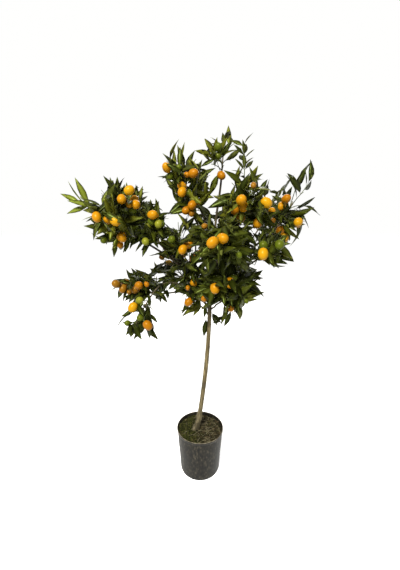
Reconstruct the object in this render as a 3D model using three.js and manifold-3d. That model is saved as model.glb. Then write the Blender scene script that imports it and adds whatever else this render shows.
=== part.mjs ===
// A kumquat tree grown as a standard in a nursery pot: a clear stem, forked boughs and a loose, uneven
// crown of leafy shoots that bear ripe and green fruit.
// Millimetres, +Z up. The origin is the centre of the pot's flat underside, and -Y is the tree's front.
import * as THREE from "three";
import { mergeVertices } from "three/addons/utils/BufferGeometryUtils.js";
import Module from "manifold-3d";

// ---- Driving dimensions ----

const GAP = 0.3; // between pieces that touch

const POT_HEIGHT = 245;
const POT_RIM_DIAMETER = 250;
const POT_FOOT_DIAMETER = 214;
const POT_WALL = 2.5;
const POT_LIP = 2; // how far the rolled lip stands out
const POT_LIP_DEPTH = 9;
const POT_SIDES = 30;

const SOIL_LEVEL = 232;
const SOIL_SLOPE = 5; // how far the soil sinks from the trunk to the wall
const SOIL_COLLAR = 45; // radius of the level soil round the trunk

const FORK_HEIGHT = 1010;
const TRUNK_FOOT_X = -15;
const TRUNK_LEAN = 64; // how far the fork stands to the right of the foot
const TRUNK_KINK = 9; // sideways kink at the graft, just above the soil
const TRUNK_SWAY = 5; // forward and backward
const TRUNK_FOOT_DIAMETER = 26;
const TRUNK_FORK_DIAMETER = 19;
const ROOT_FLARE = 8; // added to the radius at the soil
const GRAFT_SWELLING = 3;
const TRUNK_SIDES = 10;
const TRUNK_STEPS = 12;

const BOUGH_SIDES = 6;
const BOUGH_STEPS = 5;
const BOUGH_KINK = 5; // how far a bough wanders off its curve
const BOUGH_ENTRY = 0.6; // share of a mass's reach at which its bough ends, towards the bough's foot

// How a bough comes into its mass: how far above the middle its tip lies, in shares of the reach, how
// much of its arch is left there, and how far it sags before it turns up.
const ENTRY = { rise: -0.15, arch: 0.6, sag: 0.04 };
const ENTRY_FROM_ABOVE = { rise: 0.75, arch: 1.2, sag: 0 };

const TWIG_SIDES = 3;
const STEM_STEPS = 3;
const STEM_TIP_DIAMETER = 4;
const SHOOT_STEPS = 2;
const SHOOT_FOOT_DIAMETER = 5;
const SHOOT_TIP_DIAMETER = 3;
const SPUR_RISE = 24; // how far a spur's tip stands above the middle of its fruit
const SHOOT_REACH = 0.62; // share of the mass's reach that a bare shoot tip comes to
const TWIG_CLEARANCE = 5; // kept between a twig and a limb or a neighbour's space

const LEAF_LENGTH = 122;
const LEAF_WIDTH = 44;
const LEAF_THICKNESS = 2.4;
const LEAF_SPACING = 9; // between the outer parts of two leaves, or of a leaf and a fruit
const LEAF_ROLL = 2.6; // widest turn of a blade about its own length, in radians
const LEAF_BROADEST = 0.45; // share of the length at which a leaf is broadest
const LEAF_DROOP = 0.1; // share of the length by which the tip bends down
const LEAF_REACH = 1.2; // share of the mass's reach that leaf tips may come to
const LEAF_CLEARANCE = 1; // kept between a leaf or a fruit and a neighbour's space
const LEAF_LIMB_CLEARANCE = 2; // kept between a leaf or a fruit and a limb
const LEAVES_PER_SHOOT = 5;
const LEAVES_PER_SPUR = 3;
const LEAF_TURNS = [0, 1.2, -1.2, 2.4]; // tried in turn where a leaf doesn't fit
const JOINT_DETAIL = 0.9; // facets finer than this, where leaves and twigs meet, are merged

const RIPE_LENGTH = 43;
const RIPE_DIAMETER = 35;
const GREEN_LENGTH = 35;
const GREEN_DIAMETER = 31;
const FRUIT_STEP = 0.17; // share of the spur between two stalks
const FRUIT_SPACING = 35; // least distance between the middles of two fruit
const FRUIT_TURNS = [0, 0.9, -0.9, 1.8, -1.8, 3]; // tried in turn where a fruit doesn't fit
const FRUIT_HANG = { aside: 0.95, outward: 0.35, down: 0.5 }; // what the way a fruit hangs is made of
const FRUIT_BACKS = [0, 0.12, 0.24]; // shares of the spur that its stalk then moves back

const GOLDEN_ANGLE = Math.PI * (3 - Math.sqrt(5));
const UP = new THREE.Vector3(0, 0, 1);

// Each mass of foliage: its centre, its reach each way, how many leafy shoots it has besides its
// fruiting spurs, and the spurs. A spur points at [across, up] in shares of the reach, on the side of
// the mass that faces away from the trunk, and carries some ripe and some green fruit. A leader is a
// long shoot that stands out of the mass, to [x, y, z] in shares of the reach.
const masses = [
  {
    name: "foliage_left",
    centre: [-340, -140, 1362],
    reach: [113, 150, 134],
    shoots: 3,
    spurs: [
      [-0.44, -0.16, 1, 0],
      [0.12, -0.31, 2, 0],
      [0.16, -0.79, 2, 1],
      [0.54, 0.4, 2, 0],
      [0.82, 0.17, 2, 1],
    ],
    leaders: [[-1.3, 0.1, 0.3]],
  },
  {
    name: "foliage_left_inner",
    centre: [-203, -100, 1302],
    reach: [87, 115, 115],
    shoots: 2,
    spurs: [
      [0.01, 0.28, 1, 2],
      [0.49, 0.11, 0, 2],
      [-0.3, -0.54, 0, 1],
    ],
    leaders: [],
  },
  {
    name: "foliage_top_left",
    centre: [-60, -50, 1482],
    reach: [108, 125, 188],
    shoots: 3,
    spurs: [
      [-0.64, 0.14, 1, 1],
      [0.17, 0.05, 1, 0],
      [-0.04, -0.21, 2, 1],
      [0.37, -0.49, 1, 0],
      [0.17, -0.62, 1, 1],
    ],
    leaders: [],
  },
  {
    name: "foliage_top",
    centre: [102, 0, 1618],
    reach: [95, 110, 112],
    shoots: 3,
    spurs: [
      [-0.3, -0.18, 0, 2],
      [-0.2, -0.85, 1, 0],
    ],
    leaders: [[0.15, 0, 0.62]],
  },
  {
    name: "foliage_upper_right",
    centre: [175, -200, 1393],
    reach: [124, 150, 137],
    shoots: 3,
    spurs: [
      [-0.31, -0.16, 2, 0],
      [-0.39, -0.46, 2, 0],
      [0.31, -0.08, 1, 0],
      [0.41, -0.57, 1, 0],
    ],
    leaders: [[-0.15, -0.2, 1.58]],
  },
  {
    name: "foliage_right",
    centre: [383, -80, 1395],
    reach: [90, 140, 145],
    shoots: 3,
    spurs: [
      [-0.64, -0.01, 2, 0],
      [-0.43, -0.71, 2, 0],
      [0.21, -0.55, 1, 0],
      [-0.39, -0.93, 1, 0],
    ],
    leaders: [
      [0.35, 0, 0.75],
      [0.85, 0.1, 0.05],
    ],
  },
  {
    name: "foliage_front",
    centre: [78, -280, 1252],
    reach: [128, 150, 115],
    shoots: 4,
    spurs: [[-0.19, 0, 2, 0]],
    leaders: [],
  },
  {
    name: "foliage_right_low",
    centre: [248, -270, 1226],
    reach: [95, 140, 82],
    shoots: 3,
    spurs: [
      [-0.4, -0.08, 1, 1],
      [0.19, 0.24, 0, 1],
    ],
    leaders: [],
  },
  {
    name: "foliage_low_front",
    centre: [114, -200, 1069],
    reach: [126, 170, 141],
    shoots: 5,
    spurs: [
      [-0.05, 0.34, 1, 1],
      [-0.5, 0.14, 1, 1],
    ],
    leaders: [],
  },
  {
    name: "foliage_left_low",
    centre: [-257, -60, 1047],
    reach: [142, 130, 78],
    shoots: 3,
    spurs: [
      [-0.72, -0.1, 3, 0],
      [-0.09, -0.11, 2, 1],
    ],
    leaders: [],
  },
  {
    name: "foliage_left_drooping",
    centre: [-255, -200, 942],
    reach: [82, 120, 87],
    shoots: 2,
    spurs: [
      [0.03, 0.66, 1, 1],
      [0.48, -0.16, 1, 1],
    ],
    leaders: [],
  },
  {
    name: "foliage_centre_left",
    centre: [-80, -80, 1213],
    reach: [118, 140, 152],
    shoots: 3,
    spurs: [
      [0.18, 0.02, 2, 0],
      [0.64, -0.22, 2, 0],
      [-0.36, 0.16, 0, 1],
    ],
    leaders: [],
  },
  {
    name: "foliage_low_left",
    centre: [-34, -60, 1032],
    reach: [86, 120, 132],
    shoots: 4,
    spurs: [
      [0, -0.37, 1, 0],
      [0.48, 0.27, 1, 0],
    ],
    leaders: [],
  },
  {
    name: "foliage_back_left",
    centre: [-330, 150, 1370],
    reach: [140, 140, 135],
    shoots: 3,
    spurs: [
      [-0.3, -0.2, 2, 0],
      [0.4, -0.5, 1, 1],
    ],
    leaders: [],
  },
  {
    name: "foliage_back_right",
    centre: [340, 180, 1365],
    reach: [150, 140, 140],
    shoots: 3,
    spurs: [
      [0.3, -0.2, 2, 0],
      [-0.5, 0.2, 2, 1],
    ],
    leaders: [],
  },
  {
    name: "foliage_back_top",
    centre: [-30, 170, 1530],
    reach: [115, 120, 120],
    shoots: 4,
    spurs: [
      [0.2, -0.3, 2, 0],
      [-0.4, 0.3, 1, 1],
    ],
    leaders: [],
  },
  {
    name: "foliage_back",
    centre: [90, 260, 1290],
    reach: [140, 130, 140],
    shoots: 3,
    spurs: [
      [0.3, 0.2, 2, 0],
      [-0.4, -0.3, 2, 1],
    ],
    leaders: [],
  },
  {
    name: "foliage_back_low_right",
    centre: [170, 170, 1060],
    reach: [140, 140, 115],
    shoots: 3,
    spurs: [
      [0.2, -0.3, 2, 0],
      [-0.4, 0.3, 1, 0],
    ],
    leaders: [],
  },
  {
    name: "foliage_back_low_left",
    centre: [-130, 180, 1110],
    reach: [135, 130, 125],
    shoots: 3,
    spurs: [
      [-0.3, -0.2, 2, 0],
      [0.3, 0.3, 1, 1],
    ],
    leaders: [],
  },
];

// Each bough: the mass it feeds, the limb it leaves and at what share of that limb's length, its
// diameters at its foot and its tip, and how high it arches in shares of its own length.
const boughs = [
  { to: "top", from: "trunk", at: 0.99, foot: 18, tip: 9, arch: 0.02 },
  { to: "left", from: "trunk", at: 0.925, foot: 15, tip: 8, arch: 0.1 },
  { to: "right", from: "trunk", at: 0.935, foot: 15, tip: 8, arch: 0.1 },
  { to: "front", from: "trunk", at: 0.96, foot: 12, tip: 8, arch: 0.05 },
  { to: "back", from: "trunk", at: 0.95, foot: 13, tip: 8, arch: 0.05 },
  { to: "left_low", from: "trunk", at: 0.87, foot: 12, tip: 7, arch: 0.25 },
  { to: "low_left", from: "trunk", at: 0.83, foot: 9, tip: 7, arch: 0 },
  { to: "low_front", from: "trunk", at: 0.86, foot: 10, tip: 7, arch: 0 },
  { to: "back_low_left", from: "trunk", at: 0.9, foot: 11, tip: 7, arch: 0.05 },
  { to: "back_low_right", from: "trunk", at: 0.885, foot: 11, tip: 7, arch: 0.05 },
  { to: "upper_right", from: "bough_top", at: 0.14, foot: 12, tip: 8, arch: 0.05 },
  { to: "centre_left", from: "bough_top", at: 0.1, foot: 9, tip: 7, arch: 0 },
  { to: "top_left", from: "bough_top", at: 0.24, foot: 12, tip: 8, arch: 0.02 },
  { to: "back_top", from: "bough_top", at: 0.3, foot: 10, tip: 7, arch: 0 },
  { to: "left_inner", from: "bough_left", at: 0.45, foot: 9, tip: 7, arch: 0 },
  { to: "back_left", from: "bough_left", at: 0.25, foot: 11, tip: 7, arch: 0.05 },
  { to: "back_right", from: "bough_right", at: 0.2, foot: 11, tip: 7, arch: 0.05 },
  { to: "right_low", from: "bough_front", at: 0.25, foot: 9, tip: 7, arch: 0.02 },
  { to: "left_drooping", from: "bough_left_low", at: 0.4, foot: 8, tip: 6, arch: 0.3, fromAbove: true },
];

const colours = {
  pot: 0x2b2b2c,
  soil: 0x3a2f22,
  bark: 0x8a7a50,
  foliage: 0x2c4520,
};

// ---- Solids ----

const wasm = await Module();
wasm.setup();

// A closed three.js geometry as a solid, with shared corners merged.
function solidOf(geometry, tolerance = 1e-4) {
  geometry.deleteAttribute("normal");
  geometry.deleteAttribute("uv");
  const merged = mergeVertices(geometry, tolerance);
  return new wasm.Manifold(
    new wasm.Mesh({
      numProp: 3,
      vertProperties: merged.attributes.position.array,
      triVerts: new Uint32Array(merged.index.array),
    }),
  );
}

function geometryOf(solid) {
  const { vertProperties, triVerts } = solid.getMesh();
  const geometry = new THREE.BufferGeometry();
  geometry.setAttribute("position", new THREE.BufferAttribute(vertProperties, 3));
  geometry.setIndex(new THREE.BufferAttribute(triVerts, 1));
  return geometry;
}

// The largest body of a solid, with loose scraps dropped and any sealed hollow filled. Merging its
// corners again can part a leaf that hangs by a thread, so that is done first.
function soundBody(solid) {
  const merged = solidOf(geometryOf(solid), 4e-3);
  const bodies = merged.decompose().filter((body) => body.volume() > 0);
  return bodies.reduce((best, body) => (body.volume() > best.volume() ? body : best));
}

// A cylinder bent along a curve. Its radius follows its length, from 0 at the foot to 1 at the tip.
function bentCylinder(curve, radiusAt, sides, steps) {
  const shape = new THREE.CylinderGeometry(1, 1, 1, sides, steps);
  const rings = [];
  let side = new THREE.Vector3(1, 0, 0);
  for (let step = 0; step <= steps; step += 1) {
    const tangent = curve.getTangent(step / steps);
    if (step === 0 && Math.abs(tangent.x) > 0.8) side.set(0, 1, 0);
    side = side.clone().addScaledVector(tangent, -side.dot(tangent)).normalize();
    rings.push({
      centre: curve.getPoint(step / steps),
      side,
      other: new THREE.Vector3().crossVectors(side, tangent),
      radius: radiusAt(step / steps),
    });
  }
  const corners = shape.getAttribute("position");
  const corner = new THREE.Vector3();
  for (let i = 0; i < corners.count; i += 1) {
    corner.fromBufferAttribute(corners, i);
    const ring = rings[Math.round((corner.y + 0.5) * steps)];
    const placed = ring.centre
      .clone()
      .addScaledVector(ring.side, corner.x * ring.radius)
      .addScaledVector(ring.other, corner.z * ring.radius);
    corners.setXYZ(i, placed.x, placed.y, placed.z);
  }
  return solidOf(shape);
}

// A leaf: a pointed blade broadest below its middle, bent down towards its tip.
function leafSolid(leaf) {
  const shape = new THREE.OctahedronGeometry(1);
  const corners = shape.getAttribute("position");
  const corner = new THREE.Vector3();
  for (let i = 0; i < corners.count; i += 1) {
    corner.fromBufferAttribute(corners, i);
    const placed = leafPoint(leaf, corner.x, (corner.y + 1) / 2, corner.z);
    corners.setXYZ(i, placed.x, placed.y, placed.z);
  }
  return solidOf(shape);
}

// A point of a leaf: across from -1 to 1, along from 0 at the root to 1 at the tip, and proud of the
// blade from -1 to 1.
function leafPoint(leaf, across, along, proud) {
  const share = across === 0 && proud === 0 ? along : LEAF_BROADEST;
  return leaf.root
    .clone()
    .addScaledVector(leaf.direction, leaf.length * share)
    .addScaledVector(leaf.across, (across * leaf.width) / 2)
    .addScaledVector(leaf.normal, (proud * LEAF_THICKNESS) / 2)
    .addScaledVector(UP, -LEAF_DROOP * leaf.length * share * share);
}

// A fruit: an oval with its long axis along its hang.
function fruitSolid(fruit) {
  const shape = new THREE.IcosahedronGeometry(1);
  shape.scale(fruit.diameter / 2, fruit.length / 2, fruit.diameter / 2);
  shape.applyQuaternion(new THREE.Quaternion().setFromUnitVectors(new THREE.Vector3(0, 1, 0), fruit.hang));
  shape.translate(fruit.centre.x, fruit.centre.y, fruit.centre.z);
  return solidOf(shape);
}

// ---- Limbs ----

// The trunk's centre line: it leans right, less and less, with a kink at the graft.
class TrunkCurve extends THREE.Curve {
  getPoint(share, target = new THREE.Vector3()) {
    const lean = TRUNK_LEAN * (1 - (1 - share) * (1 - share));
    const kink = TRUNK_KINK * Math.exp(-share / 0.04);
    const sway = TRUNK_SWAY * Math.sin(2 * Math.PI * share);
    return target.set(
      TRUNK_FOOT_X + lean - kink,
      sway,
      SOIL_LEVEL + GAP + share * (FORK_HEIGHT - SOIL_LEVEL - GAP),
    );
  }
}

function trunkRadius(share) {
  const taper = TRUNK_FOOT_DIAMETER + (TRUNK_FORK_DIAMETER - TRUNK_FOOT_DIAMETER) * share;
  const flare = ROOT_FLARE * Math.exp(-share / 0.025);
  const graft = GRAFT_SWELLING * Math.exp(-(((share - 0.08) / 0.03) ** 2));
  return taper / 2 + flare + graft;
}

// The trunk's rings lie level, so that its foot and its fork are flat cuts.
function trunkSolid(spare) {
  const shape = new THREE.CylinderGeometry(1, 1, 1, TRUNK_SIDES, TRUNK_STEPS);
  const curve = limbs.trunk.curve;
  const corners = shape.getAttribute("position");
  for (let i = 0; i < corners.count; i += 1) {
    const share = corners.getY(i) + 0.5;
    const centre = curve.getPoint(bunched(share));
    const radius = trunkRadius(bunched(share)) + spare;
    const end = share < 0.001 ? -spare : share > 0.999 ? spare : 0;
    corners.setXYZ(
      i,
      centre.x + corners.getX(i) * radius,
      centre.y - corners.getZ(i) * radius,
      centre.z + end,
    );
  }
  return solidOf(shape);
}

// Rings of the trunk stand closer together at its foot.
function bunched(share) {
  return share * (0.35 + 0.65 * share);
}

// A smooth wander that fades out at both ends of a limb.
function wander(share, phase) {
  return Math.sin(Math.PI * share) * Math.sin(7 * share + phase);
}

class BoughCurve extends THREE.Curve {
  constructor(foot, first, second, tip, phase) {
    super();
    this.base = new THREE.CubicBezierCurve3(foot, first, second, tip);
    this.phase = phase;
  }

  getPoint(share, target = new THREE.Vector3()) {
    this.base.getPoint(share, target);
    target.x += BOUGH_KINK * wander(share, this.phase);
    target.y += BOUGH_KINK * wander(share, this.phase + 2);
    return target;
  }
}

const vector = (numbers) => new THREE.Vector3(...numbers);

for (const mass of masses) {
  mass.centre = vector(mass.centre);
  mass.reach = vector(mass.reach);
  mass.size = Math.cbrt(mass.reach.x * mass.reach.y * mass.reach.z);
}

const limbs = {
  trunk: { curve: new TrunkCurve(), radiusAt: trunkRadius },
};

// A bough leaves its parent's centre line at an angle, arches, and ends inside its mass.
for (const [index, bough] of boughs.entries()) {
  bough.name = "bough_" + bough.to;
  const parent = limbs[bough.from];
  const mass = masses.find((each) => each.name === "foliage_" + bough.to);
  const foot = parent.curve.getPoint(bough.at);
  const along = parent.curve.getTangent(bough.at);
  const away = new THREE.Vector3().subVectors(foot, mass.centre).normalize();
  const depth = 1 / away.clone().divide(mass.reach).length();
  const entry = bough.fromAbove ? ENTRY_FROM_ABOVE : ENTRY;
  const tip = mass.centre.clone().addScaledVector(away, BOUGH_ENTRY * depth);
  tip.z += entry.rise * mass.reach.z;
  const span = foot.distanceTo(tip);
  const heading = new THREE.Vector3().subVectors(tip, foot).divideScalar(span);
  const leaving = heading.clone().multiplyScalar(0.75).addScaledVector(along, 0.45).normalize();
  const first = foot.clone().addScaledVector(leaving, 0.35 * span);
  first.z += bough.arch * span;
  const second = tip.clone().addScaledVector(heading, -0.3 * span);
  second.z += (entry.arch * bough.arch - entry.sag) * span;
  const curve = new BoughCurve(foot, first, second, tip, index * 1.7);
  const radiusAt = (share) => (bough.foot + (bough.tip - bough.foot) * Math.sqrt(share)) / 2;
  limbs[bough.name] = { curve, radiusAt };
  mass.bough = bough.name;
}

function boughSolid(name, spare) {
  const limb = limbs[name];
  const radius = (share) => limb.radiusAt(share) + spare;
  const body = bentCylinder(limb.curve, radius, BOUGH_SIDES, BOUGH_STEPS);
  if (spare === 0) return body;
  const end = limb.curve.getPoint(1);
  const onward = end.clone().addScaledVector(limb.curve.getTangent(1), spare);
  const cap = new THREE.LineCurve3(end.clone().addScaledVector(limb.curve.getTangent(1), -1), onward);
  return body.add(bentCylinder(cap, () => radius(1), BOUGH_SIDES, 1));
}

// Every limb at once, a little stouter than it is, for keeping leaves and fruit off them.
const allLimbs = boughs.reduce(
  (whole, bough) => whole.add(boughSolid(bough.name, LEAF_LIMB_CLEARANCE)),
  trunkSolid(LEAF_LIMB_CLEARANCE),
);

// Straight pieces of every limb, for keeping twigs clear of them.
function limbPieces(limb, steps) {
  const pieces = [];
  for (let step = 0; step < steps; step += 1) {
    const radius = limb.radiusAt(step / steps);
    pieces.push({
      start: limb.curve.getPoint(step / steps),
      end: limb.curve.getPoint((step + 1) / steps),
      radius,
    });
  }
  return pieces;
}

const obstacles = Object.values(limbs).flatMap((limb) => limbPieces(limb, 12));

// ---- Growth ----

// A repeatable run of numbers from 0 to 1.
function seeded(seed) {
  let state = seed >>> 0;
  return () => {
    state = (Math.imul(state, 1664525) + 1013904223) >>> 0;
    return state / 4294967296;
  };
}

// How near two straight pieces come to each other, tried at even steps along the first one.
function pieceDistance(from, to, piece, tries) {
  const line = new THREE.Line3(piece.start, piece.end);
  const nearest = new THREE.Vector3();
  let least = Infinity;
  for (let i = 0; i <= tries; i += 1) {
    const point = from.clone().lerp(to, i / tries);
    line.closestPointToPoint(point, true, nearest);
    least = Math.min(least, nearest.distanceTo(point));
  }
  return least;
}

function clearOfLimbs(from, to, margin) {
  return obstacles.every((piece) => pieceDistance(from, to, piece, 6) > piece.radius + margin);
}

// A mass's cell ends at a plane towards each neighbour, placed by the two masses' sizes.
function inCell(mass, point, margin) {
  const offset = new THREE.Vector3().subVectors(point, mass.centre);
  return masses.every((other) => {
    if (other === mass) return true;
    const towards = new THREE.Vector3().subVectors(other.centre, mass.centre);
    const distance = towards.length();
    const plane = (distance * distance + mass.size ** 2 - other.size ** 2) / (2 * distance);
    return offset.dot(towards) / distance < plane - margin;
  });
}

// Whether a point lies in the mass's own rounded space, or close along one of its leaders.
function inReach(mass, point) {
  const offset = new THREE.Vector3().subVectors(point, mass.centre);
  if (offset.clone().divide(mass.reach).length() <= LEAF_REACH) return true;
  return mass.leaders.some((leader) => {
    const end = vector(leader).multiply(mass.reach);
    const share = THREE.MathUtils.clamp(offset.dot(end) / end.lengthSq(), 0, 1);
    return offset.distanceTo(end.multiplyScalar(share)) < 0.8 * mass.size;
  });
}

// Even directions over a ball, each turned a little at random.
function evenDirections(count, random) {
  const directions = [];
  for (let i = 0; i < count; i += 1) {
    const height = 1 - (2 * (i + 0.5)) / count + 0.3 * (random() - 0.5);
    const turn = i * GOLDEN_ANGLE + 0.8 * (random() - 0.5);
    const level = Math.sqrt(Math.max(0, 1 - height * height));
    directions.push(new THREE.Vector3(level * Math.cos(turn), level * Math.sin(turn), height));
  }
  return directions;
}

// Where each shoot of a mass aims, in shares of its reach, with the fruit it bears.
function shootAims(mass, random) {
  const outward = mass.centre.y > 50 ? 1 : -1;
  const aims = mass.leaders.map((leader) => ({ share: vector(leader), ripe: 0, green: 0, leader: true }));
  for (const [across, up, ripe, green] of mass.spurs) {
    const depth = Math.sqrt(Math.max(0.08, 0.8 - across * across - up * up));
    aims.push({ share: new THREE.Vector3(across, outward * depth, up), ripe, green });
  }
  const spurs = [...aims];
  const leafy = evenDirections(mass.shoots + 3, random).map((direction) => ({
    share: direction.multiplyScalar(SHOOT_REACH),
    ripe: 0,
    green: 0,
  }));
  const crowding = (aim) => Math.max(...spurs.map((spur) => spur.share.clone().normalize().dot(aim.share)));
  leafy.sort((a, b) => crowding(a) - crowding(b));
  return aims.concat(leafy.slice(0, mass.shoots));
}

// The stem goes on from the bough's tip, through the middle of the mass.
function stemCurve(mass) {
  const bough = limbs[mass.bough].curve;
  const start = bough.getPoint(1);
  const heading = bough.getTangent(1);
  const end = mass.centre.clone().lerp(start, -0.35);
  const span = start.distanceTo(end);
  return new THREE.QuadraticBezierCurve3(start, start.clone().addScaledVector(heading, 0.45 * span), end);
}

// A shoot leaves the stem below the point nearest to its aim and bends up and out to it.
function shootCurve(mass, stem, target, lift) {
  let nearest = 0;
  for (let step = 0; step <= 20; step += 1) {
    const closer = stem.getPoint(step / 20).distanceTo(target) < stem.getPoint(nearest).distanceTo(target);
    if (closer) nearest = step / 20;
  }
  const span = stem.getLength();
  const back = (0.45 * stem.getPoint(nearest).distanceTo(target)) / span;
  const foot = THREE.MathUtils.clamp(nearest - back, 0.15, 0.95);
  const start = stem.getPoint(foot);
  const length = start.distanceTo(target);
  const bend = start
    .clone()
    .lerp(target, 0.4)
    .addScaledVector(stem.getTangent(foot), 0.15 * length)
    .addScaledVector(UP, lift * length);
  return new THREE.QuadraticBezierCurve3(start, bend, target);
}

// Whether a twig stays in its mass's cell and off every limb.
function twigFits(mass, curve, from) {
  for (let step = 0; step < 6; step += 1) {
    const start = curve.getPoint(from + ((1 - from) * step) / 6);
    const end = curve.getPoint(from + ((1 - from) * (step + 1)) / 6);
    if (!inCell(mass, end, TWIG_CLEARANCE)) return false;
    if (!clearOfLimbs(start, end, TWIG_CLEARANCE)) return false;
  }
  return true;
}

// The shoots of a mass: each aims at its place, and pulls back towards the middle until it fits.
function growShoots(mass, stem, random) {
  const shoots = [];
  for (const aim of shootAims(mass, random)) {
    const lift = 0.06 + 0.12 * random();
    const phase = 2 * Math.PI * random();
    let grown = null;
    for (let pull = 1; pull > 0.4 && !grown; pull -= 0.12) {
      const target = aim.share.clone().multiply(mass.reach).multiplyScalar(pull).add(mass.centre);
      if (aim.ripe + aim.green > 0) target.z += SPUR_RISE;
      const curve = shootCurve(mass, stem, target, lift);
      if (curve.getLength() > 30 && twigFits(mass, curve, 0.1)) grown = curve;
    }
    if (grown) shoots.push({ ...aim, curve: grown, phase });
  }
  return shoots;
}

// A direction that leaves a twig's tangent at an angle, turned round the twig.
function sideways(tangent, turn, angle) {
  const level = Math.abs(tangent.z) > 0.9 ? new THREE.Vector3(1, 0, 0) : UP;
  const first = new THREE.Vector3().crossVectors(tangent, level).normalize();
  const second = new THREE.Vector3().crossVectors(first, tangent);
  return tangent
    .clone()
    .multiplyScalar(Math.cos(angle))
    .addScaledVector(first, Math.sin(angle) * Math.cos(turn))
    .addScaledVector(second, Math.sin(angle) * Math.sin(turn));
}

function makeLeaf(root, direction, length, roll) {
  const heading = direction.clone().normalize();
  const level = Math.abs(heading.z) > 0.95 ? new THREE.Vector3(0, 1, 0) : UP;
  const flat = new THREE.Vector3().crossVectors(heading, level).normalize();
  const across = flat.applyAxisAngle(heading, roll);
  const normal = new THREE.Vector3().crossVectors(across, heading);
  return { root, direction: heading, across, normal, length, width: (length * LEAF_WIDTH) / LEAF_LENGTH };
}

// Whether a leaf stays in its mass's space and off every limb.
function leafFits(mass, leaf) {
  const tip = leafPoint(leaf, 0, 1, 0);
  if (!inReach(mass, tip)) return false;
  const corners = [leaf.root, tip];
  for (const side of [-1, 1]) corners.push(leafPoint(leaf, side, 0, 0), leafPoint(leaf, 0, 0, side));
  if (!corners.every((corner) => inCell(mass, corner, LEAF_CLEARANCE))) return false;
  return leafSolid(leaf).intersect(allLimbs).isEmpty();
}

// Whether the outer part of a leaf stands apart from the leaves and the fruit that are placed already.
function standsApart(leaf, placed) {
  const inner = leafPoint(leaf, 0, LEAF_BROADEST, 0);
  const tip = leafPoint(leaf, 0, 1, 0);
  const nearLeaf = (other) => pieceDistance(inner, tip, other.blade, 4) < LEAF_SPACING;
  const nearFruit = (fruit) => {
    const ball = { start: fruit.centre, end: fruit.centre };
    return pieceDistance(inner, tip, ball, 4) < fruit.length / 2 + LEAF_SPACING;
  };
  return !placed.leaves.some(nearLeaf) && !placed.fruit.some(nearFruit);
}

// A leaf where it first fits, turned further round its twig or made shorter where it must be.
function fittingLeaf(mass, shoot, share, turn, angle, length, roll, placed) {
  const root = shoot.curve.getPoint(share);
  const tangent = shoot.curve.getTangent(share);
  for (const size of [1, 0.8]) {
    for (const extra of LEAF_TURNS) {
      const direction = sideways(tangent, turn + extra, angle);
      direction.z -= 0.12;
      const leaf = makeLeaf(root, direction, length * size, roll);
      if (leafFits(mass, leaf) && standsApart(leaf, placed)) return leaf;
    }
  }
  return null;
}

// Leaves stand round the outer part of a shoot by the golden angle, the last one at its tip.
function growLeaves(mass, shoot, random, placed) {
  const count = shoot.ripe + shoot.green > 0 ? LEAVES_PER_SPUR : LEAVES_PER_SHOOT;
  for (let i = 0; i < count; i += 1) {
    const last = i === count - 1;
    const share = last ? 0.99 : 0.35 + (0.6 * i) / (count - 1);
    const angle = last ? 0.15 : 1.05 - 0.35 * share;
    const roll = LEAF_ROLL * (random() - 0.5);
    const length = LEAF_LENGTH * (0.85 + 0.3 * random());
    const leaf = fittingLeaf(mass, shoot, share, shoot.phase + i * GOLDEN_ANGLE, angle, length, roll, placed);
    if (leaf) {
      leaf.blade = { start: leafPoint(leaf, 0, LEAF_BROADEST, 0), end: leafPoint(leaf, 0, 1, 0) };
      placed.leaves.push(leaf);
    }
  }
}

// Fruit hang round the end of a spur, each with its stalk end sunk in the twig and clear of the others.
function growFruit(mass, shoot, placed) {
  const count = shoot.ripe + shoot.green;
  for (let i = 0; i < count; i += 1) {
    const fruit = fittingFruit(mass, shoot, i, (2 * Math.PI * i) / count, placed);
    if (fruit) placed.fruit.push(fruit);
  }
}

function fittingFruit(mass, shoot, index, turn, placed) {
  const ripe = index < shoot.ripe;
  const length = ripe ? RIPE_LENGTH : GREEN_LENGTH;
  const diameter = ripe ? RIPE_DIAMETER : GREEN_DIAMETER;
  for (const back of FRUIT_BACKS) {
    for (const extra of FRUIT_TURNS) {
      const share = 0.97 - FRUIT_STEP * index - back;
      const stalk = shoot.curve.getPoint(share);
      const outward = new THREE.Vector3().subVectors(stalk, mass.centre).normalize();
      const hang = sideways(shoot.curve.getTangent(share), shoot.phase + turn + extra, 1.3)
        .multiplyScalar(FRUIT_HANG.aside)
        .addScaledVector(outward, FRUIT_HANG.outward)
        .addScaledVector(UP, -FRUIT_HANG.down)
        .normalize();
      const centre = stalk.clone().addScaledVector(hang, 0.46 * length);
      const apart = placed.fruit.every((other) => other.centre.distanceTo(centre) > FRUIT_SPACING);
      const fruit = { centre, hang, length, diameter, ripe };
      const inside = inCell(mass, centre, length / 2 + LEAF_CLEARANCE);
      if (apart && inside && fruitSolid(fruit).intersect(allLimbs).isEmpty()) return fruit;
    }
  }
  return null;
}

// ---- The solids of each node ----

function potSolid() {
  const foot = POT_FOOT_DIAMETER / 2;
  const rim = POT_RIM_DIAMETER / 2;
  const lipFoot = POT_HEIGHT - POT_LIP_DEPTH;
  const wallAt = (height) => foot + ((rim - POT_LIP - foot) * height) / POT_HEIGHT;
  const profile = [
    [0, 0],
    [foot, 0],
    [wallAt(lipFoot), lipFoot],
    [rim, lipFoot + POT_LIP],
    [rim, POT_HEIGHT],
    [wallAt(POT_HEIGHT) - POT_WALL, POT_HEIGHT],
    [foot - POT_WALL, POT_WALL],
    [0, POT_WALL],
  ];
  return new THREE.LatheGeometry(
    profile.map(([radius, height]) => new THREE.Vector2(radius, height)),
    POT_SIDES,
  );
}

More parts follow.
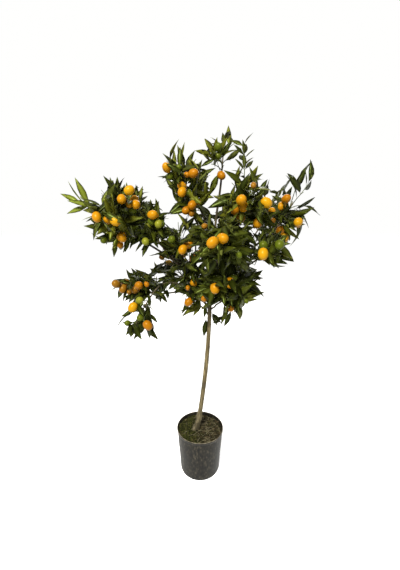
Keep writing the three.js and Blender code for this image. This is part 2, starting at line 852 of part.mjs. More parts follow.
function soilSolid() {
  const foot = POT_FOOT_DIAMETER / 2 - POT_WALL - GAP;
  const brim = POT_RIM_DIAMETER / 2 - POT_LIP - POT_WALL - GAP;
  const wallLevel = SOIL_LEVEL - SOIL_SLOPE;
  const wallAt = (height) => foot + ((brim - foot) * (height - POT_WALL)) / (POT_HEIGHT - POT_WALL);
  const profile = [
    [0, POT_WALL + GAP],
    [foot - GAP, POT_WALL + GAP],
    [wallAt(wallLevel) - GAP, wallLevel],
    [SOIL_COLLAR, SOIL_LEVEL],
    [0, SOIL_LEVEL],
  ];
  return new THREE.LatheGeometry(
    profile.map(([radius, height]) => new THREE.Vector2(radius, height)),
    POT_SIDES,
  );
}

// A mass of foliage: its stem, cut clear of its bough, with its shoots, leaves and fruit fused on.
function foliageSolid(mass, index) {
  const random = seeded(1000 + 77 * index);
  const stem = stemCurve(mass);
  const shoots = growShoots(mass, stem, random);
  const foot = limbs[mass.bough].radiusAt(1) * 2;
  const stemRadius = (share) => (foot + (STEM_TIP_DIAMETER - foot) * share) / 2;
  const shootRadius = (share) =>
    (SHOOT_FOOT_DIAMETER + (SHOOT_TIP_DIAMETER - SHOOT_FOOT_DIAMETER) * share) / 2;
  const rooted = bentCylinder(stem, stemRadius, BOUGH_SIDES, STEM_STEPS);
  const pieces = [rooted.subtract(boughSolid(mass.bough, GAP))];
  const placed = { leaves: [], fruit: [] };
  for (const shoot of shoots) growFruit(mass, shoot, placed);
  for (const shoot of shoots) growLeaves(mass, shoot, random, placed);
  for (const shoot of shoots) pieces.push(bentCylinder(shoot.curve, shootRadius, TWIG_SIDES, SHOOT_STEPS));
  pieces.push(...placed.fruit.map(fruitSolid), ...placed.leaves.map(leafSolid));
  return soundBody(pieces.reduce((whole, piece) => whole.add(piece)).simplify(JOINT_DETAIL));
}

const tree = new THREE.Group();

function addMesh(name, geometry, colour, roughness) {
  const material = new THREE.MeshStandardMaterial({ color: colour, roughness, metalness: 0 });
  const mesh = new THREE.Mesh(geometry, material);
  mesh.name = name;
  tree.add(mesh);
}

// A lathe turns about Y: it is stood up along Z.
function stoodUp(geometry) {
  return geometryOf(solidOf(geometry.rotateX(Math.PI / 2)));
}

addMesh("pot", stoodUp(potSolid()), colours.pot, 0.6);
addMesh("soil", stoodUp(soilSolid()), colours.soil, 0.95);
addMesh("trunk", geometryOf(trunkSolid(0)), colours.bark, 0.8);

for (const bough of boughs) {
  const parent = bough.from === "trunk" ? trunkSolid(GAP) : boughSolid(bough.from, GAP);
  const body = soundBody(boughSolid(bough.name, 0).subtract(parent));
  addMesh(bough.name, geometryOf(body), colours.bark, 0.8);
}

for (const [index, mass] of masses.entries()) {
  addMesh(mass.name, geometryOf(foliageSolid(mass, index)), colours.foliage, 0.5);
}

export default tree;
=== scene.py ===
import itertools
import math
import random

import bmesh
import bpy
import numpy as np
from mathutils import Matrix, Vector, noise


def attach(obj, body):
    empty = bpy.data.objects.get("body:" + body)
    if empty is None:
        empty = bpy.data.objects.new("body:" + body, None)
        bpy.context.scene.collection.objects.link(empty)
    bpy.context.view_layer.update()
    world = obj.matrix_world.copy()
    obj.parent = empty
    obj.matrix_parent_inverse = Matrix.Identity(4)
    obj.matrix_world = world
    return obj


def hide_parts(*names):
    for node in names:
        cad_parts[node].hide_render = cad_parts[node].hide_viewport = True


# A kumquat tree grown as a standard in a nursery pot. The trunk and the boughs get bark, each mass of
# foliage is grown again from its bough's tip with finer twigs, real leaves and fruit, and the pot and
# its soil get their wear, moss and litter. Metres, +Z up, -Y is the tree's front.

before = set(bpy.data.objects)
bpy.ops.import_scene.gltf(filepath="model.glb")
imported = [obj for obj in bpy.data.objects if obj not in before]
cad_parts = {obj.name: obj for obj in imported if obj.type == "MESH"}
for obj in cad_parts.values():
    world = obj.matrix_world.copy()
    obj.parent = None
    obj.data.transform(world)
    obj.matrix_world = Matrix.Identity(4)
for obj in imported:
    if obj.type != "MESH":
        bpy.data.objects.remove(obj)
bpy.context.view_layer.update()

# ---- Sizes ----

GAP = 0.0003  # between parts that touch

POT_HEIGHT = 0.245
POT_RIM_DIAMETER = 0.25
POT_FOOT_DIAMETER = 0.214
POT_WALL = 0.0022
POT_LIP = 0.002
POT_LIP_DEPTH = 0.009
POT_SIDES = 128
POT_OUT_OF_ROUND = 0.0016
POT_DENTS = 0.0012

SOIL_LEVEL = 0.232
SOIL_SLOPE = 0.005  # how far the soil sinks from the collar to the wall
SOIL_COLLAR = 0.045  # radius of the level soil round the trunk
SOIL_FOOT_DEPTH = 0.008  # how far the trunk goes on below the soil's level

FORK_HEIGHT = 1.01
TRUNK_FOOT_X = -0.015
TRUNK_LEAN = 0.064
TRUNK_KINK = 0.009
TRUNK_SWAY = 0.005
TRUNK_FOOT_DIAMETER = 0.026
TRUNK_FORK_DIAMETER = 0.019
ROOT_FLARE = 0.008
GRAFT_SWELLING = 0.003
BOUGH_KINK = 0.005
BOUGH_ENTRY = 0.6  # how far from its mass's middle a bough ends, in shares of the way to the edge

STEM_TIP_DIAMETER = 0.004
SHOOT_FOOT_DIAMETER = 0.0045
SHOOT_TIP_DIAMETER = 0.0022
SPRIG_FOOT_DIAMETER = 0.0028
SPRIG_TIP_DIAMETER = 0.0016
SPUR_RISE = 0.024  # how far above its fruit a spur ends
SHOOT_REACH = 0.62  # share of the reach that a leafy shoot comes to
SHORTEST_SHOOT = 0.03
TWIG_CLEARANCE = 0.005
LEAF_REACH = 1.2  # share of the reach that leaves may come to
LEADER_ROOM = 0.8  # how far from a leader its leaves may come, in shares of the mass's size
LEAF_CLEARANCE = 0.001

RIPE_LENGTH = 0.043
RIPE_DIAMETER = 0.035
GREEN_LENGTH = 0.035
GREEN_DIAMETER = 0.031
FRUIT_FIRST = 0.97  # where the first fruit hangs, in shares of the spur's length
FRUIT_STEP = 0.17  # from one fruit to the next, in the same shares
FRUIT_LEAVING = 1.3  # angle at which a fruit stands off its spur
FRUIT_MIDDLE = 0.46  # from a stalk's foot to its fruit's centre, in shares of the fruit's length
FRUIT_CLEARANCE = 0.002  # from the limbs
FRUIT_SPACING = 0.035
FRUIT_TURNS = (0, 0.9, -0.9, 1.8, -1.8, 3)  # round the spur, tried in this order
FRUIT_BACKS = (0, 0.12, 0.24)  # further back on the spur, tried in this order
FRUIT_ASIDE = 0.95
FRUIT_OUTWARD = 0.35
FRUIT_DOWN = 0.5
SHADED_MASSES = ("left_low",)  # their fruit hang in shade among the leaves, and their rinds are painted darker: painted shade

CAMERA_PLACE = (0, -1.28, 1.31)

GOLDEN_ANGLE = math.pi * (3 - math.sqrt(5))
FULL_TURN = 6.28  # radians, for things turned at random
UP = np.array([0.0, 0.0, 1.0])

# Each mass of foliage: name, centre, reach each way, leafy shoots, fruiting spurs as
# (across, up, ripe, green) in shares of the reach, and leaders as (x, y, z) in shares of the reach.
MASSES = [
    ("left", (-0.34, -0.14, 1.362), (0.113, 0.15, 0.134), 3,
     [(-0.44, -0.16, 1, 0), (0.12, -0.31, 2, 0), (0.16, -0.79, 2, 1), (0.54, 0.4, 2, 0),
      (0.82, 0.17, 2, 1)], [(-1.3, 0.1, 0.3)]),
    ("left_inner", (-0.203, -0.1, 1.302), (0.087, 0.115, 0.115), 2,
     [(0.01, 0.28, 1, 2), (0.49, 0.11, 0, 2), (-0.3, -0.54, 0, 1)], []),
    ("top_left", (-0.06, -0.05, 1.482), (0.108, 0.125, 0.188), 3,
     [(-0.64, 0.14, 1, 1), (0.17, 0.05, 1, 0), (-0.04, -0.21, 2, 1), (0.37, -0.49, 1, 0),
      (0.17, -0.62, 1, 1)], []),
    ("top", (0.102, 0, 1.618), (0.095, 0.11, 0.112), 3,
     [(-0.3, -0.18, 0, 2), (-0.2, -0.85, 1, 0)], [(0.15, 0, 0.62)]),
    ("upper_right", (0.175, -0.2, 1.393), (0.124, 0.15, 0.137), 3,
     [(-0.31, -0.16, 2, 0), (-0.39, -0.46, 2, 0), (0.31, -0.08, 1, 0), (0.41, -0.57, 1, 0)],
     [(-0.15, -0.2, 1.58)]),
    ("right", (0.383, -0.08, 1.395), (0.09, 0.14, 0.145), 3,
     [(-0.64, -0.01, 2, 0), (-0.43, -0.71, 2, 0), (0.21, -0.55, 1, 0), (-0.39, -0.93, 1, 0)],
     [(0.35, 0, 0.75), (0.85, 0.1, 0.05)]),
    ("front", (0.078, -0.28, 1.252), (0.128, 0.15, 0.115), 4, [(-0.19, 0, 2, 0)], []),
    ("right_low", (0.248, -0.27, 1.226), (0.095, 0.14, 0.082), 3,
     [(-0.4, -0.08, 1, 1), (0.19, 0.24, 0, 1)], []),
    ("low_front", (0.114, -0.2, 1.069), (0.126, 0.17, 0.141), 5,
     [(-0.05, 0.34, 1, 1), (-0.5, 0.14, 1, 1)], []),
    ("left_low", (-0.257, -0.06, 1.047), (0.142, 0.13, 0.078), 3,
     [(-0.72, -0.1, 3, 0), (-0.09, -0.11, 2, 1)], []),
    ("left_drooping", (-0.255, -0.2, 0.942), (0.082, 0.12, 0.087), 2,
     [(0.03, 0.66, 1, 1), (0.48, -0.16, 1, 1)], []),
    ("centre_left", (-0.08, -0.08, 1.213), (0.118, 0.14, 0.152), 3,
     [(0.18, 0.02, 2, 0), (0.64, -0.22, 2, 0), (-0.36, 0.16, 0, 1)], []),
    ("low_left", (-0.034, -0.06, 1.032), (0.086, 0.12, 0.132), 4,
     [(0, -0.37, 1, 0), (0.48, 0.27, 1, 0)], []),
    ("back_left", (-0.33, 0.15, 1.37), (0.14, 0.14, 0.135), 3, [(-0.3, -0.2, 2, 0), (0.4, -0.5, 1, 1)], []),
    ("back_right", (0.34, 0.18, 1.365), (0.15, 0.14, 0.14), 3, [(0.3, -0.2, 2, 0), (-0.5, 0.2, 2, 1)], []),
    ("back_top", (-0.03, 0.17, 1.53), (0.115, 0.12, 0.12), 4, [(0.2, -0.3, 2, 0), (-0.4, 0.3, 1, 1)], []),
    ("back", (0.09, 0.26, 1.29), (0.14, 0.13, 0.14), 3, [(0.3, 0.2, 2, 0), (-0.4, -0.3, 2, 1)], []),
    ("back_low_right", (0.17, 0.17, 1.06), (0.14, 0.14, 0.115), 3,
     [(0.2, -0.3, 2, 0), (-0.4, 0.3, 1, 0)], []),
    ("back_low_left", (-0.13, 0.18, 1.11), (0.135, 0.13, 0.125), 3,
     [(-0.3, -0.2, 2, 0), (0.3, 0.3, 1, 1)], []),
]

# Each bough: the mass it feeds, the limb it leaves and at what share of that limb's length, its
# diameters at foot and tip, how high it arches, and whether it comes into its mass from above.
BOUGHS = [
    ("top", "trunk", 0.99, 0.018, 0.009, 0.02, False),
    ("left", "trunk", 0.925, 0.015, 0.008, 0.1, False),
    ("right", "trunk", 0.935, 0.015, 0.008, 0.1, False),
    ("front", "trunk", 0.96, 0.012, 0.008, 0.05, False),
    ("back", "trunk", 0.95, 0.013, 0.008, 0.05, False),
    ("left_low", "trunk", 0.87, 0.012, 0.007, 0.25, False),
    ("low_left", "trunk", 0.83, 0.009, 0.007, 0, False),
    ("low_front", "trunk", 0.86, 0.01, 0.007, 0, False),
    ("back_low_left", "trunk", 0.9, 0.011, 0.007, 0.05, False),
    ("back_low_right", "trunk", 0.885, 0.011, 0.007, 0.05, False),
    ("upper_right", "bough_top", 0.14, 0.012, 0.008, 0.05, False),
    ("centre_left", "bough_top", 0.1, 0.009, 0.007, 0, False),
    ("top_left", "bough_top", 0.24, 0.012, 0.008, 0.02, False),
    ("back_top", "bough_top", 0.3, 0.01, 0.007, 0, False),
    ("left_inner", "bough_left", 0.45, 0.009, 0.007, 0, False),
    ("back_left", "bough_left", 0.25, 0.011, 0.007, 0.05, False),
    ("back_right", "bough_right", 0.2, 0.011, 0.007, 0.05, False),
    ("right_low", "bough_front", 0.25, 0.009, 0.007, 0.02, False),
    ("left_drooping", "bough_left_low", 0.4, 0.008, 0.006, 0.3, True),
]

# ---- Curves and limbs ----


def unit(vector):
    return vector / np.linalg.norm(vector)


def mix(a, b, share):
    return a + (b - a) * share


class Curve:
    """A smooth line: at(share) is its point, from the foot at 0 to the tip at 1."""

    def __init__(self, at):
        self.at = at

    def heading(self, share):
        low, high = max(0.0, share - 1e-4), min(1.0, share + 1e-4)
        return unit(self.at(high) - self.at(low))

    def length(self):
        points = np.array([self.at(i / 60) for i in range(61)])
        return np.linalg.norm(np.diff(points, axis=0), axis=1).sum()


def bend(*points):
    """A Bezier curve through its first and last points."""

    def at(share):
        level = list(points)
        while len(level) > 1:
            level = [mix(a, b, share) for a, b in zip(level, level[1:])]
        return level[0]

    return Curve(at)


def along(curve, first, pieces):
    """Points along a curve, from the share first to its tip."""
    return np.array([curve.at(first + (1 - first) * step / pieces) for step in range(pieces + 1)])


class Limb:
    """The trunk or a bough: its middle line, and radius(share)."""

    def __init__(self, curve, radius):
        self.curve = curve
        self.radius = radius


class Mass:
    """The space of one mass of foliage."""

    def __init__(self, index, row):
        self.name, centre, reach, self.shoots, self.spurs, leaders = row
        self.index = index
        self.node = "foliage_" + self.name
        self.centre = np.array(centre, float)
        self.reach = np.array(reach, float)
        self.size = float(np.cbrt(self.reach.prod()))
        self.leaders = [np.array(leader, float) for leader in leaders]
        self.outward = 1.0 if self.centre[1] > 0.05 else -1.0
        self.limb = None
        self.sides = None

    def divide(self, masses):
        """Sets the planes of the mass's cell: one towards each neighbour, placed by the two sizes."""
        others = [other for other in masses if other is not self]
        apart = np.array([other.centre - self.centre for other in others])
        distance = np.linalg.norm(apart, axis=1)
        sizes = np.array([other.size for other in others])
        self.sides = apart / distance[:, None]
        self.planes = (distance**2 + self.size**2 - sizes**2) / (2 * distance)

    def in_cell(self, points, margin):
        """Whether all the points stay in the mass's own space, by a margin that may be below 0."""
        offset = np.atleast_2d(points) - self.centre
        return bool(np.all(offset @ self.sides.T < self.planes - margin))

    def in_reach(self, point, most=LEAF_REACH):
        """Whether a point lies in the mass's ellipsoid, or close to one of its leaders."""
        offset = point - self.centre
        if np.linalg.norm(offset / self.reach) <= most:
            return True
        for leader in self.leaders:
            end = leader * self.reach
            share = min(max(offset @ end / (end @ end), 0.0), 1.0)
            if np.linalg.norm(offset - end * share) < LEADER_ROOM * self.size:
                return True
        return False


def trunk_at(share):
    """The trunk's middle line: it leans, kinks at its foot and sways a little."""
    lean = TRUNK_LEAN * (1 - (1 - share) ** 2)
    kink = TRUNK_KINK * math.exp(-max(share, 0) / 0.04)
    sway = TRUNK_SWAY * math.sin(2 * math.pi * share)
    height = SOIL_LEVEL + GAP + share * (FORK_HEIGHT - SOIL_LEVEL - GAP)
    return np.array([TRUNK_FOOT_X + lean - kink, sway, height])


def trunk_radius(share):
    """The trunk tapers from its root flare, with a swelling where it was grafted."""
    taper = mix(TRUNK_FOOT_DIAMETER, TRUNK_FORK_DIAMETER, share)
    flare = ROOT_FLARE * math.exp(-max(share, 0) / 0.025)
    graft = GRAFT_SWELLING * math.exp(-(((share - 0.08) / 0.03) ** 2))
    return taper / 2 + flare + graft


def wander(share, phase):
    """A slight waver that is 0 at both ends of a bough."""
    return math.sin(math.pi * share) * math.sin(7 * share + phase)


def bough_limb(index, row, limbs, mass):
    """A bough leaves its parent's centre line at an angle, arches, and ends inside its mass."""
    name, parent, at, foot_diameter, tip_diameter, arch, from_above = row
    foot = limbs[parent].curve.at(at)
    onward = limbs[parent].curve.heading(at)
    away = unit(foot - mass.centre)
    depth = 1 / np.linalg.norm(away / mass.reach)
    rise, left, sag = (0.75, 1.2, 0) if from_above else (-0.15, 0.6, 0.04)
    tip = mass.centre + away * BOUGH_ENTRY * depth + UP * rise * mass.reach[2]
    span = np.linalg.norm(tip - foot)
    heading = (tip - foot) / span
    leaving = unit(heading * 0.75 + onward * 0.45)
    first = foot + leaving * 0.35 * span + UP * arch * span
    second = tip - heading * 0.3 * span + UP * (left * arch - sag) * span
    base = bend(foot, first, second, tip)
    phase = index * 1.7

    def at_share(share):
        off = np.array([wander(share, phase), wander(share, phase + 2), 0])
        return base.at(share) + BOUGH_KINK * off

    def radius(share):
        return mix(foot_diameter, tip_diameter, math.sqrt(max(share, 0))) / 2

    return Limb(Curve(at_share), radius)


masses = [Mass(index, row) for index, row in enumerate(MASSES)]
mass_named = {mass.name: mass for mass in masses}
for mass in masses:
    mass.divide(masses)

limbs = {"trunk": Limb(Curve(trunk_at), trunk_radius)}
for index, row in enumerate(BOUGHS):
    limbs["bough_" + row[0]] = bough_limb(index, row, limbs, mass_named[row[0]])
    mass_named[row[0]].limb = limbs["bough_" + row[0]]


LIMB_PIECES = 12


def limb_pieces(limb):
    """A limb as straight pieces: their starts, their steps and their radii."""
    points = along(limb.curve, 0, LIMB_PIECES)
    radii = [limb.radius(step / LIMB_PIECES) for step in range(LIMB_PIECES)]
    return points[:-1], np.diff(points, axis=0), radii


piece_lists = [limb_pieces(limb) for limb in limbs.values()]
PIECE_STARTS = np.concatenate([starts for starts, _, _ in piece_lists])
PIECE_STEPS = np.concatenate([steps for _, steps, _ in piece_lists])
PIECE_RADII = np.concatenate([radii for _, _, radii in piece_lists])
PIECE_SQUARES = (PIECE_STEPS**2).sum(axis=1)


def limb_gap(points):
    """How far the nearest limb's bark is from any of the points."""
    offset = np.atleast_2d(points)[:, None, :] - PIECE_STARTS
    share = np.clip((offset * PIECE_STEPS).sum(axis=-1) / PIECE_SQUARES, 0, 1)
    nearest = offset - share[..., None] * PIECE_STEPS
    return float((np.linalg.norm(nearest, axis=-1) - PIECE_RADII).min())


# ---- Growth ----

MASS_SEED = 1000
MASS_SEED_STEP = 77


def seeded(seed):
    """A repeatable run of numbers from 0 to 1."""
    state = seed

    def draw():
        nonlocal state
        state = (state * 1664525 + 1013904223) & 0xFFFFFFFF
        return state / 4294967296

    return draw


def even_directions(count, draw):
    """Directions spread evenly over a ball, each a little off its place."""
    directions = []
    for i in range(count):
        height = 1 - (2 * (i + 0.5)) / count + 0.3 * (draw() - 0.5)
        turn = i * GOLDEN_ANGLE + 0.8 * (draw() - 0.5)
        level = math.sqrt(max(0.0, 1 - height * height))
        directions.append(np.array([level * math.cos(turn), level * math.sin(turn), height]))
    return directions


def shoot_aims(mass, draw):
    """Where each shoot aims, in shares of the reach: (share, ripe, green, leads)."""
    aims = [(leader, 0, 0, True) for leader in mass.leaders]
    for across, up, ripe, green in mass.spurs:
        depth = math.sqrt(max(0.08, 0.8 - across * across - up * up))
        aims.append((np.array([across, mass.outward * depth, up]), ripe, green, False))
    taken = [unit(aim[0]) for aim in aims]
    leafy = [direction * SHOOT_REACH for direction in even_directions(mass.shoots + 3, draw)]
    leafy.sort(key=lambda share: max(float(share @ other) for other in taken))
    return aims + [(share, 0, 0, False) for share in leafy[: mass.shoots]]


def stem_curve(mass):
    """The stem goes on from the bough's tip, through the middle of the mass."""
    start = mass.limb.curve.at(1)
    end = mix(mass.centre, start, -0.35)
    span = np.linalg.norm(end - start)
    return bend(start, start + mass.limb.curve.heading(1) * 0.45 * span, end)


def shoot_curve(stem, target, lift):
    """A shoot leaves the stem below the point nearest to its aim and bends up and out to it."""
    distances = [np.linalg.norm(stem.at(step / 20) - target) for step in range(21)]
    nearest = int(np.argmin(distances)) / 20
    back = 0.45 * min(distances) / stem.length()
    foot = min(max(nearest - back, 0.15), 0.95)
    start = stem.at(foot)
    length = np.linalg.norm(target - start)
    middle = mix(start, target, 0.4) + stem.heading(foot) * 0.15 * length + UP * lift * length
    return bend(start, middle, target)


def twig_fits(mass, curve):
    """Whether a shoot keeps to its mass's space and clear of the limbs, but for its foot."""
    points = along(curve, 0.1, 6)
    if not mass.in_cell(points[1:], TWIG_CLEARANCE):
        return False
    between = [mix(a, b, i / 6) for a, b in zip(points, points[1:]) for i in range(7)]
    return limb_gap(between) > TWIG_CLEARANCE


class Twig:
    """A stem, a leader, a shoot or a sprig. fruits says how many ripe and green ones it bears."""

    def __init__(self, mass, curve, phase, foot, tip, kind, fruits=(0, 0)):
        self.mass = mass
        self.curve = curve
        self.phase = phase
        self.foot = foot
        self.tip = tip
        self.kind = kind
        self.fruits = fruits
        self.length = curve.length()
        self.tone = "mid"


def shoot_on(mass, curve, phase, kind, fruits=(0, 0)):
    """A shoot that grows on a mass's stem."""
    return Twig(mass, curve, phase, SHOOT_FOOT_DIAMETER, SHOOT_TIP_DIAMETER, kind, fruits)


def sprig_on(mass, curve, phase):
    """A finer twig."""
    return Twig(mass, curve, phase, SPRIG_FOOT_DIAMETER, SPRIG_TIP_DIAMETER, "sprig")


def grow_shoots(mass, stem, draw):
    """The mass's leaders, spurs and leafy shoots, each drawn in where it doesn't fit."""
    shoots = []
    for share, ripe, green, leads in shoot_aims(mass, draw):
        lift = 0.06 + 0.12 * draw()
        phase = 2 * math.pi * draw()
        pull = 1.0
        while pull > 0.4:
            target = mass.centre + share * mass.reach * pull
            if ripe + green > 0:
                target[2] += SPUR_RISE
            curve = shoot_curve(stem, target, lift)
            if curve.length() > SHORTEST_SHOOT and twig_fits(mass, curve):
                kind = "leader" if leads else "shoot"
                shoots.append(shoot_on(mass, curve, phase, kind, (ripe, green)))
                break
            pull -= 0.12
    return shoots


def turned_frame(direction):
    """Two directions square to one another and to the given one."""
    level = np.array([1.0, 0.0, 0.0]) if abs(direction[2]) > 0.9 else UP
    first = unit(np.cross(direction, level))
    return first, np.cross(direction, first)


def sideways(tangent, turn, angle):
    """A direction that leaves a twig's tangent at an angle, turned round the twig."""
    first, second = turned_frame(tangent)
    out = first * math.cos(turn) - second * math.sin(turn)
    return tangent * math.cos(angle) + out * math.sin(angle)


class Fruit:
    """A fruit that hangs from its stalk's foot in one direction. size is a share of the full size."""

    def __init__(self, stalk, hang, ripe, size=1.0):
        self.ripe = ripe
        self.small = size < 1
        self.shaded = False
        self.length = size * (RIPE_LENGTH if ripe else GREEN_LENGTH)
        self.diameter = size * (RIPE_DIAMETER if ripe else GREEN_DIAMETER)
        self.hang = hang
        self.centre = stalk + hang * FRUIT_MIDDLE * self.length


def fitting_fruit(twig, index, turn, placed):
    """A fruit where it first fits, hung further round its spur or further back on it."""
    mass = twig.mass
    for back, extra in itertools.product(FRUIT_BACKS, FRUIT_TURNS):
        share = FRUIT_FIRST - FRUIT_STEP * index - back
        stalk = twig.curve.at(share)
        outward = unit(stalk - mass.centre)
        aside = sideways(twig.curve.heading(share), twig.phase + turn + extra, FRUIT_LEAVING)
        hang = unit(aside * FRUIT_ASIDE + outward * FRUIT_OUTWARD - UP * FRUIT_DOWN)
        fruit = Fruit(stalk, hang, index < twig.fruits[0])
        if any(np.linalg.norm(other.centre - fruit.centre) <= FRUIT_SPACING for other in placed):
            continue
        if not mass.in_cell(fruit.centre, fruit.length / 2 + LEAF_CLEARANCE):
            continue
        core = (fruit.length - fruit.diameter) / 2
        spine = [fruit.centre + fruit.hang * core * side for side in (-1, 0, 1)]
        if limb_gap(spine) > fruit.diameter / 2 + FRUIT_CLEARANCE:
            return fruit
    return None


def grow_fruit(twig, placed):
    """The ripe and the green fruit of a spur."""
    count = sum(twig.fruits)
    for i in range(count):
        fruit = fitting_fruit(twig, i, 2 * math.pi * i / count, placed)
        if fruit:
            fruit.shaded = twig.mass.name in SHADED_MASSES
            placed.append(fruit)


# ---- Finer twigs and leaves ----

# Smaller fruit on the finer twigs of a mass: (across, up) in shares of its reach, size, ripe.
SMALL_FRUIT = {
    "left": [
        (-1.0, 0.05, 0.7, True), (0.1, -1.0, 0.75, True), (-0.55, -0.62, 0.85, False),
        (0.95, 0.3, 0.7, True),
    ],
    "left_inner": [(0.35, 0.6, 0.6, True)],
    "top_left": [
        (0.3, 0.2, 0.62, True), (-0.25, 0.42, 0.85, False), (0.0, -0.72, 0.7, True),
        (0.35, -0.2, 0.6, True),
    ],
    "upper_right": [(-0.45, -0.75, 0.75, True), (0.5, -0.3, 0.7, True), (0.0, 0.25, 0.6, True)],
    "right": [(-0.8, -0.3, 0.65, True), (-0.1, -0.8, 0.7, True)],
    "front": [(0.45, -0.5, 0.65, False), (-0.6, 0.55, 0.6, True)],
    "low_front": [(-0.75, 0.0, 0.8, True), (-0.3, -0.35, 0.62, True), (0.55, -0.2, 0.55, False)],
    "left_low": [(-0.4, -0.3, 0.62, True), (0.3, 0.1, 0.62, True)],
    "left_drooping": [(-0.5, 0.3, 0.8, False), (0.7, -0.1, 0.75, False)],
    "centre_left": [(0.45, 0.45, 0.6, True), (0.75, 0.2, 0.62, True)],
    "low_left": [(-0.2, 0.1, 0.55, True)],
    "back_left": [(0.3, 0.4, 0.85, True), (-0.7, 0.3, 0.8, False), (-0.1, -0.6, 0.7, True)],
    "back_right": [(0.1, 0.6, 0.8, True), (0.7, 0.3, 0.85, False), (-0.2, -0.5, 0.7, True)],
    "back_top": [(-0.2, 0.7, 0.8, True), (0.6, 0.2, 0.75, False), (-0.7, -0.2, 0.8, True)],
    "back": [(-0.6, 0.4, 0.85, True), (0.6, -0.4, 0.7, True), (0.1, 0.6, 0.8, False)],
    "back_low_right": [(0.5, 0.4, 0.8, True), (-0.1, -0.5, 0.75, True), (0.7, -0.1, 0.8, False)],
    "back_low_left": [(-0.6, 0.4, 0.85, True), (0.2, -0.5, 0.75, True), (0.6, 0.1, 0.8, False)],
}
SMALL_FRUIT_SPACING = 0.024
SMALL_FRUIT_CLEARANCE = 0.004  # from the limbs
SMALL_FRUIT_SHARES = (0.55, 0.75, 0.95)  # of a finer twig's length, where it may hang
SMALL_FRUIT_TRIES = 24

# Even directions in which a mass is looked through for room for more shoots: fewer in the open masses.
SIDE_AIMS = 20
OPEN_SIDE_AIMS = {
    "top": 3,
    "top_left": 12,
    "left": 12,
    "right": 8,
    "upper_right": 12,
    "left_drooping": 4,
    "left_low": 12,
}
# How thickly the finer twigs and leaves stand in the open masses.
THICKNESS = {"left_drooping": 0.32, "top": 0.6, "top_left": 0.85, "left_low": 0.8, "right": 0.7}
LEADER_THICKNESS = {"upper_right": 1.9}  # how thickly leaves stand on its leaders
# More shoots, where two masses meet, that the even directions don't reach: in shares of the reach.
JOINING_AIMS = {
    "left": [(0.45, -0.1, -0.8), (-0.1, -0.2, -0.9)],
    "left_inner": [(0.6, 0.1, 0.5)],
    "top_left": [(0.4, 0.24, 0.65), (0.75, -0.3, -0.6), (-0.75, -0.2, 0.55), (0.15, -0.4, -0.75)],
    "top": [(-0.75, -0.2, 0.1)],
    "front": [(0.65, 0.15, -0.1)],
    "left_low": [(0.65, -0.45, -0.5), (0.2, -0.6, -0.4), (0.75, -0.15, -0.75)],
    "upper_right": [(-0.85, -0.3, 0.1)],
    "left_drooping": [(0.8, -0.2, 0.35)],
    "centre_left": [(0.55, -0.4, 0.75), (-0.1, -0.3, 0.8)],
    "low_left": [(0.3, -0.3, 0.55)],
}
SIDE_APART = 0.86  # largest cosine of the angle between such a shoot and any other one
SIDE_REACH = 0.8  # share of the reach that its tip comes to
SIDE_LIFTS = (0.06, 0.18)
SIDE_PULLS = (1, 0.85, 0.7, 0.55)  # shares of its own length, tried in this order

SPRIGS_PER_METRE = 20  # finer twigs along a shoot
SPRIG_LENGTH = (0.045, 0.085)
SPRIG_SIZES = (1, 0.75, 0.55)  # shares of its own length, tried in this order
SPRIG_ANGLES = (0.6, 0.95)  # from its shoot
SPRIG_RISE = 0.15
SPRIG_BOW = (-0.05, 0.25)
SPRIG_REACH = 1.02  # share of the reach that the tip of a finer twig may come to
SPRIG_CROSSING = 0.015  # how far finer twigs may reach into a neighbouring mass's space
SPRIG_OFF_LIMBS = 0.003
SPRIG_OFF_FRUIT = 0.002
SHOOT_SPRIGS_FROM = 0.15  # share of a shoot's length
STEM_SPRIGS = 5
STEM_SPRIGS_FROM = 0.25
TOP_STEM_SPRIGS = 2

LEAF_PITCH = 0.02  # along a shoot
LEADER_LEAF_PITCH = 0.025
LEAF_LENGTHS = (0.082, 0.124)
LEAF_SHAPE = 0.29  # width in shares of the length
LEAF_ANGLES = (0.95, 1.2)  # from its twig at the twig's foot
LEAF_CLOSING = 0.45  # how much narrower that angle is at the twig's tip
LAST_LEAF_ANGLE = 0.2
LEAF_TURNS = (0, 1.2, -1.2, 2.4)  # round the twig, tried in this order
LEAF_DROOP = (0.02, 0.3)
LEAF_ROLL = 0.5
LEAF_CURL = (0.2, 0.18)  # usual value and spread
LEAF_SWEEP = (0, 0.12)
YOUNG_LEAF_LENGTHS = (0.115, 0.145)
YOUNG_LEAF_SHAPE = 0.23
YOUNG_LEAF_RISE = (0.3, 1.3)
LEAF_CROSSING = 0.035  # how far leaves may reach in among a neighbouring mass's own
LEAF_APART = 0.021  # least distance between the middles or the tips of two leaves
LEAF_OFF_FRUIT = 0.0005
LEAF_OFF_LIMBS = 0.0015
SIGHT_LENGTH = 0.09  # how far out a ripe fruit is kept open to the light
SIGHT_SHARE = 0.22  # of its radius
OPEN_SIDE = np.array([0.0, -1.0, 0.0])  # towards the tree's front
OPEN_EYE = np.array(CAMERA_PLACE, float)  # where the crown's openings are looked through from

